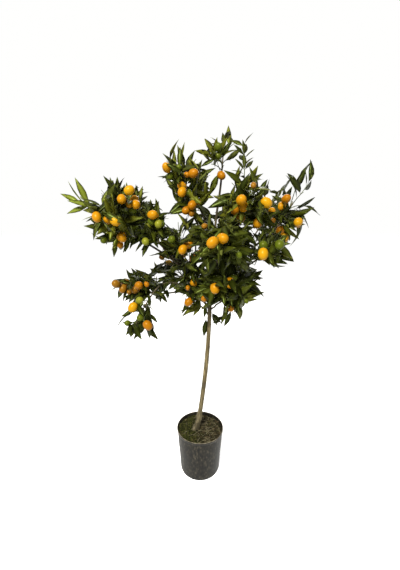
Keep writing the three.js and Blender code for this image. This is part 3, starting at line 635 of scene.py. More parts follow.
# Openings in the crown, through which the sky shows: (x, z, radius) on the upright plane of the trunk.
OPENINGS = (
    (0.105, 1.6, 0.027),
    (0.1, 1.495, 0.031),
    (0.13, 1.51, 0.02),
    (0.067, 1.535, 0.027),
    (-0.155, 1.46, 0.033),
    (-0.16, 1.41, 0.023),
    (-0.112, 1.335, 0.024),
    (-0.07, 1.285, 0.014),
    (-0.005, 1.23, 0.011),
    (0.06, 1.4, 0.019),
    (0.074, 1.335, 0.018),
    (-0.065, 1.17, 0.019),
    (-0.2, 1.21, 0.018),
    (-0.14, 1.15, 0.018),
    (-0.195, 1.085, 0.014),
    (-0.105, 1.1, 0.018),
    (0.435, 1.425, 0.027),
    (0.355, 1.52, 0.027),
    (0.27, 1.3, 0.018),
    (0.24, 1.32, 0.014),
    (0.447, 1.208, 0.024),
    (0.303, 1.13, 0.022),
    (-0.495, 1.48, 0.036),
    (-0.462, 1.44, 0.014),
    (-0.475, 1.24, 0.02),
    (-0.378, 1.09, 0.019),
    (0.26, 0.91, 0.035),
    (0.16, 0.83, 0.03),
    (0.16, 1.71, 0.022),
    (0.07, 1.72, 0.017),
    (0.254, 1.58, 0.018),
    (0.142, 1.593, 0.022),
    (0.296, 1.556, 0.018),
    (0.316, 1.435, 0.018),
    (-0.191, 1.165, 0.019),
    (-0.144, 1.141, 0.012),
    (0.319, 1.107, 0.017),
    (0.528, 1.36, 0.019),
    (-0.044, 1.647, 0.018),
    (-0.336, 0.869, 0.015),
    (-0.009, 1.618, 0.022),
    (0.027, 1.585, 0.022),
    (0.05, 1.509, 0.023),
    (-0.054, 1.505, 0.016),
    (0.083, 1.4, 0.018),
    (-0.089, 0.972, 0.02),
    (0.09, 0.921, 0.022),
    (0.166, 0.853, 0.018),
    (0.0, 0.869, 0.025),
)

# Stations along a leaf: share of its length, share of its half width.
LEAF_STATIONS = ((0.0, 0.05), (0.09, 0.07), (0.24, 0.62), (0.44, 1.0), (0.64, 0.86), (0.84, 0.42))
LEAF_FOLD = 0.26  # radians that each half of the blade is lifted
LEAF_BLADE = 0.0005  # thickness at the midrib
LEAF_WAVES = 0.1  # how far the edges wave, in shares of the half width


class Leaf:
    """A leaf whose midrib curls down and sweeps aside, more and more towards its tip."""

    def __init__(self, root, heading, normal, length, curl, sweep, tone):
        self.root = root
        self.heading = heading
        self.normal = normal
        self.across = np.cross(normal, heading)
        self.length = length
        self.width = length * (YOUNG_LEAF_SHAPE if tone == "young" else LEAF_SHAPE)
        self.curl = curl
        self.sweep = sweep
        self.tone = tone

    def middle(self, share):
        """A point on the midrib."""
        bow = share * share * self.length
        return (
            self.root
            + self.heading * share * self.length * (1 - 0.12 * abs(self.curl) * share)
            - self.normal * self.curl * bow
            + self.across * self.sweep * bow
        )

    def marks(self):
        """Its middle and its tip."""
        return np.array([self.middle(0.55), self.middle(1.0)])

    def probes(self):
        """Points that stand for the whole blade where it is tested against other things."""
        points = [self.middle(share) for share in (0.3, 0.55, 0.8, 1.0)]
        edge = self.across * self.width / 2
        return np.array(points + [self.middle(0.5) + edge, self.middle(0.5) - edge])


def leaf_normal(heading, outward, roll):
    """The leaf's upper side looks up, outwards and to the open side, turned about its own length."""
    wanted = UP * 0.45 + outward * 0.5 + OPEN_SIDE * (0.6 if outward[1] < 0.3 else -0.6)
    normal = wanted - heading * (wanted @ heading)
    normal = unit(normal) if np.linalg.norm(normal) > 1e-3 else unit(np.cross(heading, outward))
    return normal * math.cos(roll) + np.cross(heading, normal) * math.sin(roll)


class Growth:
    """What has grown in the whole crown."""

    def __init__(self):
        self.stems = []
        self.twigs = []
        self.fruits = []
        self.leaves = []
        self.leaf_marks = []

    def add_leaf(self, leaf):
        """Takes a leaf in, with the marks that later leaves keep away from."""
        self.leaves.append(leaf)
        self.leaf_marks.append(leaf.marks())

    def crowds_leaves(self, leaf):
        """Whether a leaf would lie on another one."""
        if not self.leaf_marks:
            return False
        apart = np.linalg.norm(np.array(self.leaf_marks) - leaf.marks(), axis=-1)
        return bool((apart < LEAF_APART).any())

    def settle_fruit(self):
        """Lists the fruit for the tests, and the line along which the light falls on each ripe one."""
        ripe = [fruit for fruit in self.fruits if fruit.ripe and not (fruit.small or fruit.shaded)]
        self.centres = np.array([fruit.centre for fruit in self.fruits])
        self.hangs = np.array([fruit.hang for fruit in self.fruits])
        self.halves = np.array([(fruit.diameter / 2, fruit.length / 2) for fruit in self.fruits])
        self.ripe_centres = np.array([fruit.centre for fruit in ripe])
        lights = np.where(self.ripe_centres[:, 1:2] > 0.05, OPEN_EYE * (1, -1, 1), OPEN_EYE)
        sights = lights - self.ripe_centres
        self.sights = sights / np.linalg.norm(sights, axis=1)[:, None]

    def hits_fruit(self, points, spare):
        """Whether any of the points comes nearer to a fruit than spare."""
        offset = np.atleast_2d(points)[:, None, :] - self.centres
        lengthways = (offset * self.hangs).sum(axis=-1)
        sidewise = np.linalg.norm(offset - lengthways[..., None] * self.hangs, axis=-1)
        wide, long = self.halves[:, 0] + spare, self.halves[:, 1] + spare
        return bool(((sidewise / wide) ** 2 + (lengthways / long) ** 2 < 1).any())

    def hides_fruit(self, points):
        """Whether any of the points stands before the middle of a ripe fruit."""
        offset = points[:, None, :] - self.ripe_centres
        out = (offset * self.sights).sum(axis=-1)
        aside = np.linalg.norm(offset - out[..., None] * self.sights, axis=-1)
        inside = (out > 0) & (out < SIGHT_LENGTH) & (aside < SIGHT_SHARE * RIPE_DIAMETER / 2)
        return bool(inside.any())

    def blocks_leaf(self, probes):
        """Whether a leaf would touch a fruit or a limb, or stand before a ripe fruit."""
        if self.hits_fruit(probes, LEAF_OFF_FRUIT) or self.hides_fruit(probes):
            return True
        return limb_gap(probes) <= LEAF_OFF_LIMBS


OPENING_AIMS = np.array([(x, 0, z) for x, z, _ in OPENINGS]) - OPEN_EYE
OPENING_AIMS /= np.linalg.norm(OPENING_AIMS, axis=1)[:, None]
OPENING_RADII = np.array([radius for _, _, radius in OPENINGS])


def shuts_opening(points):
    """Whether any of the points stands in one of the crown's openings."""
    offset = np.atleast_2d(points)[:, None, :] - OPEN_EYE
    out = (offset * OPENING_AIMS).sum(axis=-1)
    aside = np.linalg.norm(offset - out[..., None] * OPENING_AIMS, axis=-1)
    return bool((aside < OPENING_RADII).any())


def sprig_from(twig, share, turn, length, growth, dice):
    """A finer twig that leaves another one, shorter where it must be, or None."""
    start = twig.curve.at(share)
    tangent = twig.curve.heading(share)
    heading = sideways(tangent, turn, dice.uniform(*SPRIG_ANGLES))
    heading = unit(heading + UP * SPRIG_RISE)
    for size in SPRIG_SIZES:
        reach = length * size
        end = start + heading * reach + UP * dice.uniform(*SPRIG_BOW) * reach
        curve = bend(start, start + heading * 0.5 * reach, end)
        points = along(curve, 0.2, 4)
        if not twig.mass.in_reach(end, SPRIG_REACH) or not twig.mass.in_cell(points, -SPRIG_CROSSING):
            continue
        if limb_gap(points) < SPRIG_OFF_LIMBS or growth.hits_fruit(points, SPRIG_OFF_FRUIT):
            continue
        if growth.hides_fruit(points) or shuts_opening(points):
            continue
        return sprig_on(twig.mass, curve, dice.uniform(0, FULL_TURN))
    return None


def grow_side_shoots(mass, stem, shoots, dice):
    """More leafy shoots, where the others leave the mass's space open."""
    taken = [unit((shoot.curve.at(1) - mass.centre) / mass.reach) for shoot in shoots]
    grown = []
    joining = [np.array(aim) for aim in JOINING_AIMS.get(mass.name, [])]
    even = even_directions(OPEN_SIDE_AIMS.get(mass.name, SIDE_AIMS), dice.random)
    for number, share in enumerate(joining + even):
        if number >= len(joining) and max(float(unit(share) @ other) for other in taken) > SIDE_APART:
            continue
        lift, phase = dice.uniform(*SIDE_LIFTS), dice.uniform(0, FULL_TURN)
        reach = mass.reach * (1 if number < len(joining) else SIDE_REACH)
        for pull in SIDE_PULLS:
            curve = shoot_curve(stem, mass.centre + share * reach * pull, lift)
            if curve.length() > SHORTEST_SHOOT and twig_fits(mass, curve):
                grown.append(shoot_on(mass, curve, phase, "shoot"))
                taken.append(unit(share))
                break
    return grown


def grow_small_fruit(mass, twigs, fruits, dice):
    """Smaller fruit, each on the finer twig that passes nearest to its place on the open side."""
    for across, up, size, ripe in SMALL_FRUIT.get(mass.name, []):
        depth = math.sqrt(max(0.2, 0.9 - across * across - up * up))
        place = mass.centre + np.array([across, mass.outward * depth, up]) * mass.reach
        outward = unit(place - mass.centre)
        stalks = [twig.curve.at(share) for twig in twigs for share in SMALL_FRUIT_SHARES]
        stalks.sort(key=lambda stalk: float(np.linalg.norm(stalk - place)))
        for stalk in stalks[:SMALL_FRUIT_TRIES]:
            hang = unit(place - stalk + outward * 0.02 - UP * 0.025 + UP * 0.01 * dice.random())
            fruit = Fruit(stalk, hang, ripe, size)
            near = min(np.linalg.norm(other.centre - fruit.centre) for other in fruits)
            clear = limb_gap(fruit.centre) > fruit.diameter / 2 + SMALL_FRUIT_CLEARANCE
            if near > SMALL_FRUIT_SPACING and clear:
                fruit.shaded = mass.name in SHADED_MASSES
                fruits.append(fruit)
                break


def grow_sprigs(parent, count, first, growth, dice):
    """Finer twigs along a shoot or a stem, from the share first on."""
    for i in range(count):
        share = first + (0.93 - first) * (i + 0.5) / count
        length = dice.uniform(*SPRIG_LENGTH) * (1.1 - 0.4 * share)
        turn = parent.phase + 1.3 + i * GOLDEN_ANGLE
        sprig = sprig_from(parent, share, turn, length, growth, dice)
        if sprig:
            sprig.tone = parent.tone
            growth.twigs.append(sprig)


def leaf_places(twig, pitch):
    """Shares along a twig at which its leaves stand: closer together towards the tip."""
    first = 0.12 if twig.kind == "sprig" else 0.22
    count = max(4, round(twig.length * (1 - first) / pitch))
    return [first + (0.99 - first) * (1 - (1 - i / (count - 1)) ** 1.35) for i in range(count)]


def grow_leaves(twig, growth, dice):
    """The leaves of one twig, each turned further round it until it fits, or left out."""
    young = twig.tone == "young"
    lengths = YOUNG_LEAF_LENGTHS if young else LEAF_LENGTHS
    if twig.kind == "leader":
        pitch = LEADER_LEAF_PITCH / LEADER_THICKNESS.get(twig.mass.name, 1)
    else:
        pitch = LEAF_PITCH / THICKNESS.get(twig.mass.name, 1)
    places = leaf_places(twig, pitch)
    for i, share in enumerate(places):
        last = i == len(places) - 1
        root = twig.curve.at(share)
        tangent = twig.curve.heading(share)
        outward = unit(root - twig.mass.centre + UP * 1e-3)
        angle = LAST_LEAF_ANGLE if last else dice.uniform(*LEAF_ANGLES) - LEAF_CLOSING * share
        length = dice.uniform(*lengths) * (0.8 + 0.2 * math.sin(math.pi * min(1, share + 0.1)))
        if twig.kind == "leader":
            length *= LEADER_LEAF_SIZES.get(twig.mass.name, 1)
        for extra in LEAF_TURNS:
            heading = sideways(tangent, twig.phase + i * GOLDEN_ANGLE + extra, angle)
            rise = dice.uniform(*YOUNG_LEAF_RISE) if young else -dice.uniform(*LEAF_DROOP)
            heading = unit(heading + UP * rise)
            normal = leaf_normal(heading, outward, dice.gauss(0, LEAF_ROLL))
            curl, sweep = dice.gauss(*LEAF_CURL), dice.gauss(*LEAF_SWEEP)
            leaf = Leaf(root, heading, normal, length, curl, sweep, twig.tone)
            if leaf_fits(leaf, twig.mass, growth):
                growth.add_leaf(leaf)
                break


def leaf_fits(leaf, mass, growth):
    """Whether a leaf keeps to its mass, off its neighbours and out of the openings."""
    probes = leaf.probes()
    if not mass.in_reach(leaf.middle(1.0)) or not mass.in_cell(probes, -LEAF_CROSSING):
        return False
    return not (growth.crowds_leaves(leaf) or growth.blocks_leaf(probes) or shuts_opening(probes))


# Single leaves that stand out at the crown's edges and openings: mass, foot, tip, tone.
EDGE_LEAVES = (
    ("upper_right", (0.12, -0.22, 1.43), (0.01, -0.24, 1.38), "dark"),
    ("upper_right", (0.14, -0.22, 1.49), (0.09, -0.24, 1.52), "mid"),
    ("upper_right", (0.155, -0.23, 1.55), (0.155, -0.24, 1.61), "mid"),
    ("upper_right", (0.15, -0.22, 1.5), (0.13, -0.23, 1.56), "mid"),
    ("upper_right", (0.19, -0.22, 1.49), (0.21, -0.24, 1.53), "olive"),
    ("top", (0.11, -0.03, 1.6), (0.1, -0.05, 1.66), "mid"),
    ("left", (-0.46, -0.14, 1.4), (-0.5, -0.15, 1.51), "young"),
    ("left", (-0.47, -0.14, 1.4), (-0.55, -0.15, 1.37), "young"),
    ("right", (0.38, -0.1, 1.46), (0.43, -0.12, 1.55), "dark"),
    ("left_low", (-0.2, -0.06, 1.04), (-0.15, -0.08, 0.97), "mid"),
    ("left_low", (-0.2, -0.1, 1.05), (-0.18, -0.12, 0.98), "dark"),
    ("left_low", (-0.18, -0.06, 1.05), (-0.14, -0.08, 1.0), "dark"),
    ("top_left", (-0.06, -0.08, 1.4), (-0.13, -0.1, 1.37), "mid"),
    ("low_left", (0.03, -0.1, 0.97), (0.02, -0.12, 0.91), "dark"),
    ("left", (-0.35, -0.16, 1.26), (-0.36, -0.17, 1.19), "dark"),
    ("left", (-0.29, -0.16, 1.26), (-0.32, -0.17, 1.21), "mid"),
    ("left_inner", (-0.25, -0.12, 1.27), (-0.29, -0.14, 1.24), "dark"),
    ("top", (0.07, -0.05, 1.61), (0.02, -0.06, 1.68), "olive"),
    ("top", (0.06, -0.04, 1.62), (-0.02, -0.06, 1.63), "olive"),
    ("top_left", (-0.08, -0.1, 1.57), (-0.08, -0.12, 1.63), "mid"),
    ("low_front", (0.11, -0.22, 0.97), (0.1, -0.24, 0.91), "dark"),
    ("left_low", (-0.37, -0.08, 1.06), (-0.38, -0.09, 0.99), "mid"),
    ("left_drooping", (-0.29, -0.2, 0.99), (-0.33, -0.22, 0.95), "mid"),
    ("top", (0.11, -0.05, 1.6), (0.13, -0.06, 1.67), "dark"),
    ("upper_right", (0.16, -0.22, 1.55), (0.13, -0.23, 1.6), "dark"),
    ("upper_right", (0.15, -0.22, 1.52), (0.16, -0.23, 1.58), "mid"),
    ("upper_right", (0.23, -0.22, 1.45), (0.25, -0.23, 1.49), "dark"),
    ("upper_right", (0.19, -0.22, 1.49), (0.23, -0.23, 1.51), "mid"),
    ("top", (0.08, -0.02, 1.49), (0.04, -0.03, 1.45), "mid"),
    ("top", (0.07, -0.04, 1.6), (0, -0.05, 1.57), "dark"),
    ("top_left", (-0.08, -0.08, 1.41), (-0.14, -0.09, 1.37), "dark"),
    ("left_low", (-0.19, -0.06, 1.05), (-0.21, -0.07, 0.98), "mid"),
    ("left_low", (-0.15, -0.05, 1.05), (-0.15, -0.06, 0.98), "dark"),
    ("left_drooping", (-0.29, -0.2, 0.99), (-0.33, -0.21, 0.95), "mid"),
    ("left_drooping", (-0.22, -0.2, 0.98), (-0.21, -0.21, 1.03), "dark"),
    ("left", (-0.26, -0.16, 1.26), (-0.29, -0.17, 1.23), "dark"),
    ("left_inner", (-0.21, -0.12, 1.26), (-0.18, -0.13, 1.23), "dark"),
    ("right", (0.34, -0.1, 1.45), (0.29, -0.11, 1.46), "dark"),
    ("left_drooping", (-0.26, -0.2, 0.91), (-0.32, -0.21, 0.92), "dark"),
    ("left_drooping", (-0.26, -0.2, 0.9), (-0.32, -0.21, 0.86), "mid"),
    ("left_drooping", (-0.23, -0.2, 0.89), (-0.18, -0.21, 0.84), "mid"),
    ("left_drooping", (-0.21, -0.2, 0.96), (-0.18, -0.21, 0.92), "dark"),
    ("low_front", (0.23, -0.1, 1.06), (0.28, -0.11, 1.13), "dark"),
)
EDGE_LEAF_LENGTHS = (0.055, 0.13)
EDGE_LEAF_ROLL = 0.2
EDGE_LEAF_CURL = 0.1
EDGE_LEAF_SHARES = (0.4, 0.6, 0.8, 1)  # of a twig's length, where it may grow
EDGE_LEAF_TRIES = 12


def grow_edge_leaves(growth, dice):
    """Each grows from a twig of its mass that passes near its foot, and shows its face to the open side."""
    shortest, longest = EDGE_LEAF_LENGTHS
    for name, foot, tip, tone in EDGE_LEAVES:
        twigs = [twig for twig in growth.twigs if twig.mass is mass_named[name]]
        roots = [twig.curve.at(share) for twig in twigs for share in EDGE_LEAF_SHARES]
        roots.sort(key=lambda root: float(np.linalg.norm(root - foot)))
        roll = dice.gauss(0, EDGE_LEAF_ROLL)
        for root in roots[:EDGE_LEAF_TRIES]:
            span = np.linalg.norm(tip - root)
            length = min(max(span, shortest), longest)
            heading = (tip - root) / span
            normal = leaf_normal(heading, OPEN_SIDE, roll)
            leaf = Leaf(root, heading, normal, length, EDGE_LEAF_CURL, 0, tone)
            if not growth.blocks_leaf(leaf.probes()):
                growth.add_leaf(leaf)
                break


# Twigs on the trunk under the crown: share of the trunk's length, turn, length, rise, leaf length,
# leaves, and how far the leaves hang.
TRUNK_TWIGS = (
    (0.815, 3.5, 0.018, 0.5, 0.105, 1, 6.0),
    (0.765, -0.25, 0.055, 1.1, 0.055, 4, -0.1),
    (0.86, -1.2, 0.03, 0.3, 0.075, 2, 1.2),
)


def grow_trunk_leaves(growth, dice):
    """The few leafy twigs that stand on the bare trunk."""
    trunk = limbs["trunk"].curve
    for share, turn, length, rise, leaf_length, count, hang in TRUNK_TWIGS:
        start = trunk.at(share)
        heading = unit(np.array([math.cos(turn), math.sin(turn), rise]))
        end = start + heading * length
        curve = bend(start, start + heading * 0.5 * length - UP * 0.1 * length, end)
        growth.twigs.append(sprig_on(None, curve, turn))
        for i in range(count):
            at = 1 - 0.7 * i / count
            spread = 0 if i == 0 else 0.9 if i % 2 else -0.9
            level = np.array([math.cos(turn + spread), math.sin(turn + spread), 0])
            along_leaf = unit(level - UP * hang + UP * dice.uniform(-0.2, 0.3))
            normal = leaf_normal(along_leaf, OPEN_SIDE, dice.gauss(0, 0.25))
            growth.add_leaf(Leaf(curve.at(at), along_leaf, normal, leaf_length, 0.1, 0.05, "dark"))


# How likely a shoot of each mass is to bear each tone of leaf.
USUAL_CHANCES = {"dark": 0.45, "mid": 0.42, "olive": 0.13}
TONE_CHANCES = {
    # low_front bears dark leaves more often: painted shade for the leaves that hang low under the crown.
    "low_front": {"dark": 0.6, "mid": 0.32, "olive": 0.08},
    "top": {"mid": 0.45, "olive": 0.43, "fresh": 0.12},
    "top_left": {"dark": 0.25, "mid": 0.45, "olive": 0.3},
    "upper_right": {"dark": 0.3, "mid": 0.47, "olive": 0.23},
    "left": {"dark": 0.3, "mid": 0.45, "olive": 0.25},
}
LEADER_TONES = {"left": "young", "top": "mid", "upper_right": "mid", "right": "dark"}
LEADER_LEAF_SIZES = {"upper_right": 0.62}


def pick(chances, dice):
    """One name from a table of names and their chances."""
    return dice.choices(list(chances), list(chances.values()))[0]


def grow_crown():
    """Stems, shoots and fruit of every mass as in the solids, then side shoots, finer twigs and leaves."""
    growth = Growth()
    for mass in masses:
        draw = seeded(MASS_SEED + MASS_SEED_STEP * mass.index)
        stem = stem_curve(mass)
        shoots = grow_shoots(mass, stem, draw)
        foot = mass.limb.radius(1) * 2
        growth.stems.append(Twig(mass, stem, mass.index, foot, STEM_TIP_DIAMETER, "stem"))
        placed = []
        for shoot in shoots:
            grow_fruit(shoot, placed)
        growth.fruits.extend(placed)
        growth.twigs.extend(shoots)
    growth.settle_fruit()
    dices = [random.Random(31 + mass.index) for mass in masses]
    for mass, stem, dice in zip(masses, growth.stems, dices):
        shoots = [twig for twig in growth.twigs if twig.mass is mass]
        side_shoots = grow_side_shoots(mass, stem.curve, shoots, dice)
        growth.twigs.extend(side_shoots)
        for shoot in shoots + side_shoots:
            shoot.tone = pick(TONE_CHANCES.get(mass.name, USUAL_CHANCES), dice)
            if shoot.kind == "leader":
                shoot.tone = LEADER_TONES[mass.name]
                continue
            count = shoot.length * SPRIGS_PER_METRE * THICKNESS.get(mass.name, 1)
            grow_sprigs(shoot, max(1, round(count)), SHOOT_SPRIGS_FROM, growth, dice)
        stem.tone = "dark"
        count = TOP_STEM_SPRIGS if mass.name == "top" else STEM_SPRIGS
        grow_sprigs(stem, count, STEM_SPRIGS_FROM, growth, dice)
    for mass in masses:
        sprigs = [twig for twig in growth.twigs if twig.mass is mass and twig.kind == "sprig"]
        grow_small_fruit(mass, sprigs, growth.fruits, random.Random(7 + mass.index))
    growth.settle_fruit()
    grow_edge_leaves(growth, random.Random(9))
    for mass, dice in zip(masses, dices):
        for twig in [twig for twig in growth.twigs if twig.mass is mass]:
            grow_leaves(twig, growth, dice)
    grow_trunk_leaves(growth, random.Random(3))
    return growth


# ---- Meshes ----


class Pile:
    """Many small forms gathered into one mesh, each face with the number of its material."""

    def __init__(self):
        self.points = []
        self.faces = []
        self.numbers = []

    def add(self, points, faces, numbers):
        """Adds one form, whose faces take one number or one each."""
        base = len(self.points)
        self.points.extend(tuple(map(float, point)) for point in points)
        self.faces.extend(tuple(base + i for i in face) for face in faces)
        self.numbers.extend(numbers if isinstance(numbers, list) else [numbers] * len(faces))

    def build(self, name, materials, replaced=()):
        """Makes one piece of everything in the pile."""
        mesh = bpy.data.meshes.new(name)
        mesh.from_pydata(self.points, [], self.faces)
        mesh.polygons.foreach_set("material_index", self.numbers)
        return seat(mesh, materials, replaced)


def seat(mesh, materials, replaced=()):
    """Makes a smooth piece of the tree from a mesh."""
    for material in materials:
        mesh.materials.append(material)
    mesh.polygons.foreach_set("use_smooth", [True] * len(mesh.polygons))
    mesh.update()
    piece = bpy.data.objects.new(mesh.name, mesh)
    bpy.context.scene.collection.objects.link(piece)
    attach(piece, "root")
    if replaced:
        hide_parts(*replaced)
    return piece


def form_to_mesh(form, name):
    """Ends a bmesh, with its faces turned outwards."""
    bmesh.ops.recalc_face_normals(form, faces=form.faces)
    mesh = bpy.data.meshes.new(name)
    form.to_mesh(mesh)
    form.free()
    return mesh


def limb_form(form, curve, radius, sides, steps, relief):
    """A cylinder cut into rings, drawn out along a curve. relief(share, turn) scales the radius."""
    before = len(form.verts)
    bmesh.ops.create_cone(form, cap_ends=True, segments=sides, radius1=1, radius2=1, depth=1)
    form.verts.ensure_lookup_table()
    fresh = set(form.verts[before:])
    upright = []
    for edge in form.edges:
        low, high = edge.verts
        if low in fresh and high in fresh and low.co.z != high.co.z:
            upright.append(edge)
    bmesh.ops.subdivide_edges(form, edges=upright, cuts=steps - 1)
    form.verts.ensure_lookup_table()
    rings = curve_rings(curve, steps)
    for vert in form.verts[before:]:
        share = min(max(vert.co.z + 0.5, 0.0), 1.0)
        turn = math.atan2(vert.co.y, vert.co.x)
        centre, side, other = rings[round(share * steps)]
        size = radius(share) * relief(share, turn)
        vert.co = Vector(centre + (side * math.cos(turn) + other * math.sin(turn)) * size)


def turned_form(profile, sides):
    """A bmesh spun from a profile of (radius, height), with its axis upright."""
    form = bmesh.new()
    verts = [form.verts.new((radius, 0, height)) for radius, height in profile]
    edges = [form.edges.new(pair) for pair in zip(verts, verts[1:])]
    bmesh.ops.spin(
        form,
        geom=verts + edges,
        cent=(0, 0, 0),
        axis=(0, 0, 1),
        angle=2 * math.pi,
        steps=sides,
        use_merge=True,
    )
    bmesh.ops.remove_doubles(form, verts=form.verts, dist=1e-6)
    return form


def rings_to_faces(rings, sides):
    """Quads between rings of points, with a face over each end."""
    faces = []
    for ring in range(rings - 1):
        for side in range(sides):
            a, b = ring * sides + side, ring * sides + (side + 1) % sides
            faces.append((a, b, b + sides, a + sides))
    faces.append(tuple(reversed(range(sides))))
    faces.append(tuple((rings - 1) * sides + side for side in range(sides)))
    return faces


def curve_rings(curve, steps):
    """The middle of each ring along a curve, with two directions square to the curve there."""
    rings = []
    side = np.array([1.0, 0.0, 0.0])
    if abs(curve.heading(0)[0]) > 0.8:
        side = np.array([0.0, 1.0, 0.0])
    for step in range(steps + 1):
        tangent = curve.heading(step / steps)
        side = unit(side - tangent * (side @ tangent))
        rings.append((curve.at(step / steps), side, np.cross(tangent, side)))
    return rings


def ring_points(centre, first, second, radius, sides, lobes=0):
    """Points of a ring round its centre. Every other one stands out by the share lobes, the rest in."""
    points = []
    for corner in range(sides):
        turn = 2 * math.pi * corner / sides
        size = radius * (1 + lobes if corner % 2 else 1 - lobes)
        points.append(centre + (first * math.cos(turn) + second * math.sin(turn)) * size)
    return points


# Sides and steps of the tube of a twig of each kind.
TWIG_DETAIL = {"stem": (8, 10), "sprig": (4, 4)}
USUAL_DETAIL = (6, 8)


def twig_into(pile, twig, number):
    """A tube that tapers along a twig."""
    sides, steps = TWIG_DETAIL.get(twig.kind, USUAL_DETAIL)
    points = []
    for step, (centre, first, second) in enumerate(curve_rings(twig.curve, steps)):
        radius = mix(twig.foot, twig.tip, step / steps) / 2
        points += ring_points(centre, first, second, radius, sides)
    pile.add(points, rings_to_faces(steps + 1, sides), number)


def leaf_into(pile, leaf, number, dice):
    """A closed blade, folded along its midrib: upper faces take one material, lower ones the next."""
    points = []
    waves = dice.uniform(0, FULL_TURN)
    lift = math.sin(LEAF_FOLD)
    spread = math.cos(LEAF_FOLD)
    for share, wide in LEAF_STATIONS:
        middle = leaf.middle(share)
        half = wide * leaf.width / 2
        wavy = LEAF_WAVES * half * math.sin(9 * share + waves)
        left = middle - leaf.across * half * spread + leaf.normal * (half * lift + wavy)
        right = middle + leaf.across * half * spread + leaf.normal * (half * lift - wavy)
        points.extend((left, middle, right, middle - leaf.normal * LEAF_BLADE))
    points.append(leaf.middle(1.0))
    stations = len(LEAF_STATIONS)
    tip = 4 * stations
    upper, lower = [], []
    for station in range(stations - 1):
        a = 4 * station
        b = a + 4
        upper += [(a, a + 1, b + 1, b), (a + 1, a + 2, b + 2, b + 1)]
        lower += [(a + 3, a, b, b + 3), (a + 2, a + 3, b + 3, b + 2)]
    a = 4 * (stations - 1)
    upper += [(a, a + 1, tip), (a + 1, a + 2, tip)]
    lower += [(a + 3, a, tip), (a + 2, a + 3, tip)]
    lower.append((0, 3, 2, 1))
    pile.add(points, upper + lower, [number] * len(upper) + [number + 1] * len(lower))


FRUIT_SIDES = 16
FRUIT_RINGS = 10


def fruit_into(pile, fruit, number, dice):
    """An oval with a slight shoulder at its stalk and a dimple at its far end."""
    first, second = turned_frame(fruit.hang)
    plump = dice.uniform(0.97, 1.03)
    points = []
    for ring in range(FRUIT_RINGS + 1):
        angle = math.pi * (ring + 0.35) / (FRUIT_RINGS + 0.7)
        down, out = -math.cos(angle), math.sin(angle) ** 0.92
        dimple = 0.035 * math.exp(-((1 - down) / 0.03)) + 0.03 * math.exp(-((1 + down) / 0.03))
        centre = fruit.centre + fruit.hang * down * (1 - dimple) * fruit.length / 2
        size = plump * out * fruit.diameter / 2 * (1 - 0.03 * down)
        points += ring_points(centre, first, second, size, FRUIT_SIDES)
    pile.add(points, rings_to_faces(FRUIT_RINGS + 1, FRUIT_SIDES), number)


# Rings of a stalk and its calyx, from above: depth below the fruit's top, radius and lobes.
CALYX_RINGS = (
    (-0.006, 0.0011, 0),
    (-0.001, 0.0014, 0),
    (0.0, 0.0042, 0.18),
    (0.0016, 0.0046, 0.18),
    (0.003, 0.002, 0),
)
CALYX_SIDES = 10


def calyx_into(pile, fruit, number):
    """The green button with its short stalk where a fruit hangs."""
    first, second = turned_frame(fruit.hang)
    top = fruit.centre - fruit.hang * fruit.length / 2
    points = []
    for depth, radius, lobes in CALYX_RINGS:
        centre = top + fruit.hang * depth
        points += ring_points(centre, first, second, radius, CALYX_SIDES, lobes)
    pile.add(points, rings_to_faces(len(CALYX_RINGS), CALYX_SIDES), number)


# ---- Materials ----

# The colour sockets of a mix node.
MIX_SHARE, MIX_FIRST, MIX_SECOND, MIX_RESULT = 0, 6, 7, 2


def new_material(name, colour, roughness, specular=0.5, tint=(1, 1, 1)):
    """A material with its main shader, ready for its detail."""
    material = bpy.data.materials.new(name)
    material.use_nodes = True
    shader = material.node_tree.nodes["Principled BSDF"]
    shader.inputs["Base Color"].default_value = (*colour, 1)
    shader.inputs["Roughness"].default_value = roughness
    shader.inputs["Specular IOR Level"].default_value = specular
    shader.inputs["Specular Tint"].default_value = (*tint, 1)
    material.diffuse_color = (*colour, 1)
    return material, shader


def node(material, kind, **values):
    """A shader node, with the values of its sockets and settings."""
    made = material.node_tree.nodes.new(kind)
    for name, value in values.items():
        if name in made.inputs:
            made.inputs[name].default_value = value
        else:
            setattr(made, name, value)
    return made


def link(material, source, target):
    material.node_tree.links.new(source, target)


def object_noise(material, scale, detail=4.0, stretch=(1, 1, 1)):
    """The value of a noise in the object's own coordinates."""
    place = node(material, "ShaderNodeTexCoord")
    mapping = node(material, "ShaderNodeMapping", Scale=stretch)
    texture = node(material, "ShaderNodeTexNoise", Scale=scale, Detail=detail)
    link(material, place.outputs["Object"], mapping.inputs["Vector"])
    link(material, mapping.outputs["Vector"], texture.inputs["Vector"])
    return texture.outputs["Fac"]


def object_axis(material, axis):
    """One of the object's own coordinates."""
    place = node(material, "ShaderNodeTexCoord")
    parts = node(material, "ShaderNodeSeparateXYZ")
    link(material, place.outputs["Object"], parts.inputs["Vector"])
    return parts.outputs[axis]


def rescale(material, value, start, end, low, high):
    """Carries a value over from the span start to end to the span low to high, and holds it there."""
    made = node(material, "ShaderNodeMapRange")
    spans = {"From Min": start, "From Max": end, "To Min": low, "To Max": high}
    for name, limit in spans.items():
        made.inputs[name].default_value = limit
    link(material, value, made.inputs["Value"])
    return made.outputs["Result"]


def add_up(material, value, factor, other):
    """value * factor + other, held between 0 and 1."""
    made = node(material, "ShaderNodeMath", operation="MULTIPLY_ADD", use_clamp=True)
    link(material, value, made.inputs[0])
    made.inputs[1].default_value = factor
    link(material, other, made.inputs[2])
    return made.outputs["Value"]


def add_bump(material, shader, height, strength, distance):
    """Fine relief from a value of the material."""
    bump = node(material, "ShaderNodeBump", Strength=strength, Distance=distance)
    link(material, height, bump.inputs["Height"])
    link(material, bump.outputs["Normal"], shader.inputs["Normal"])


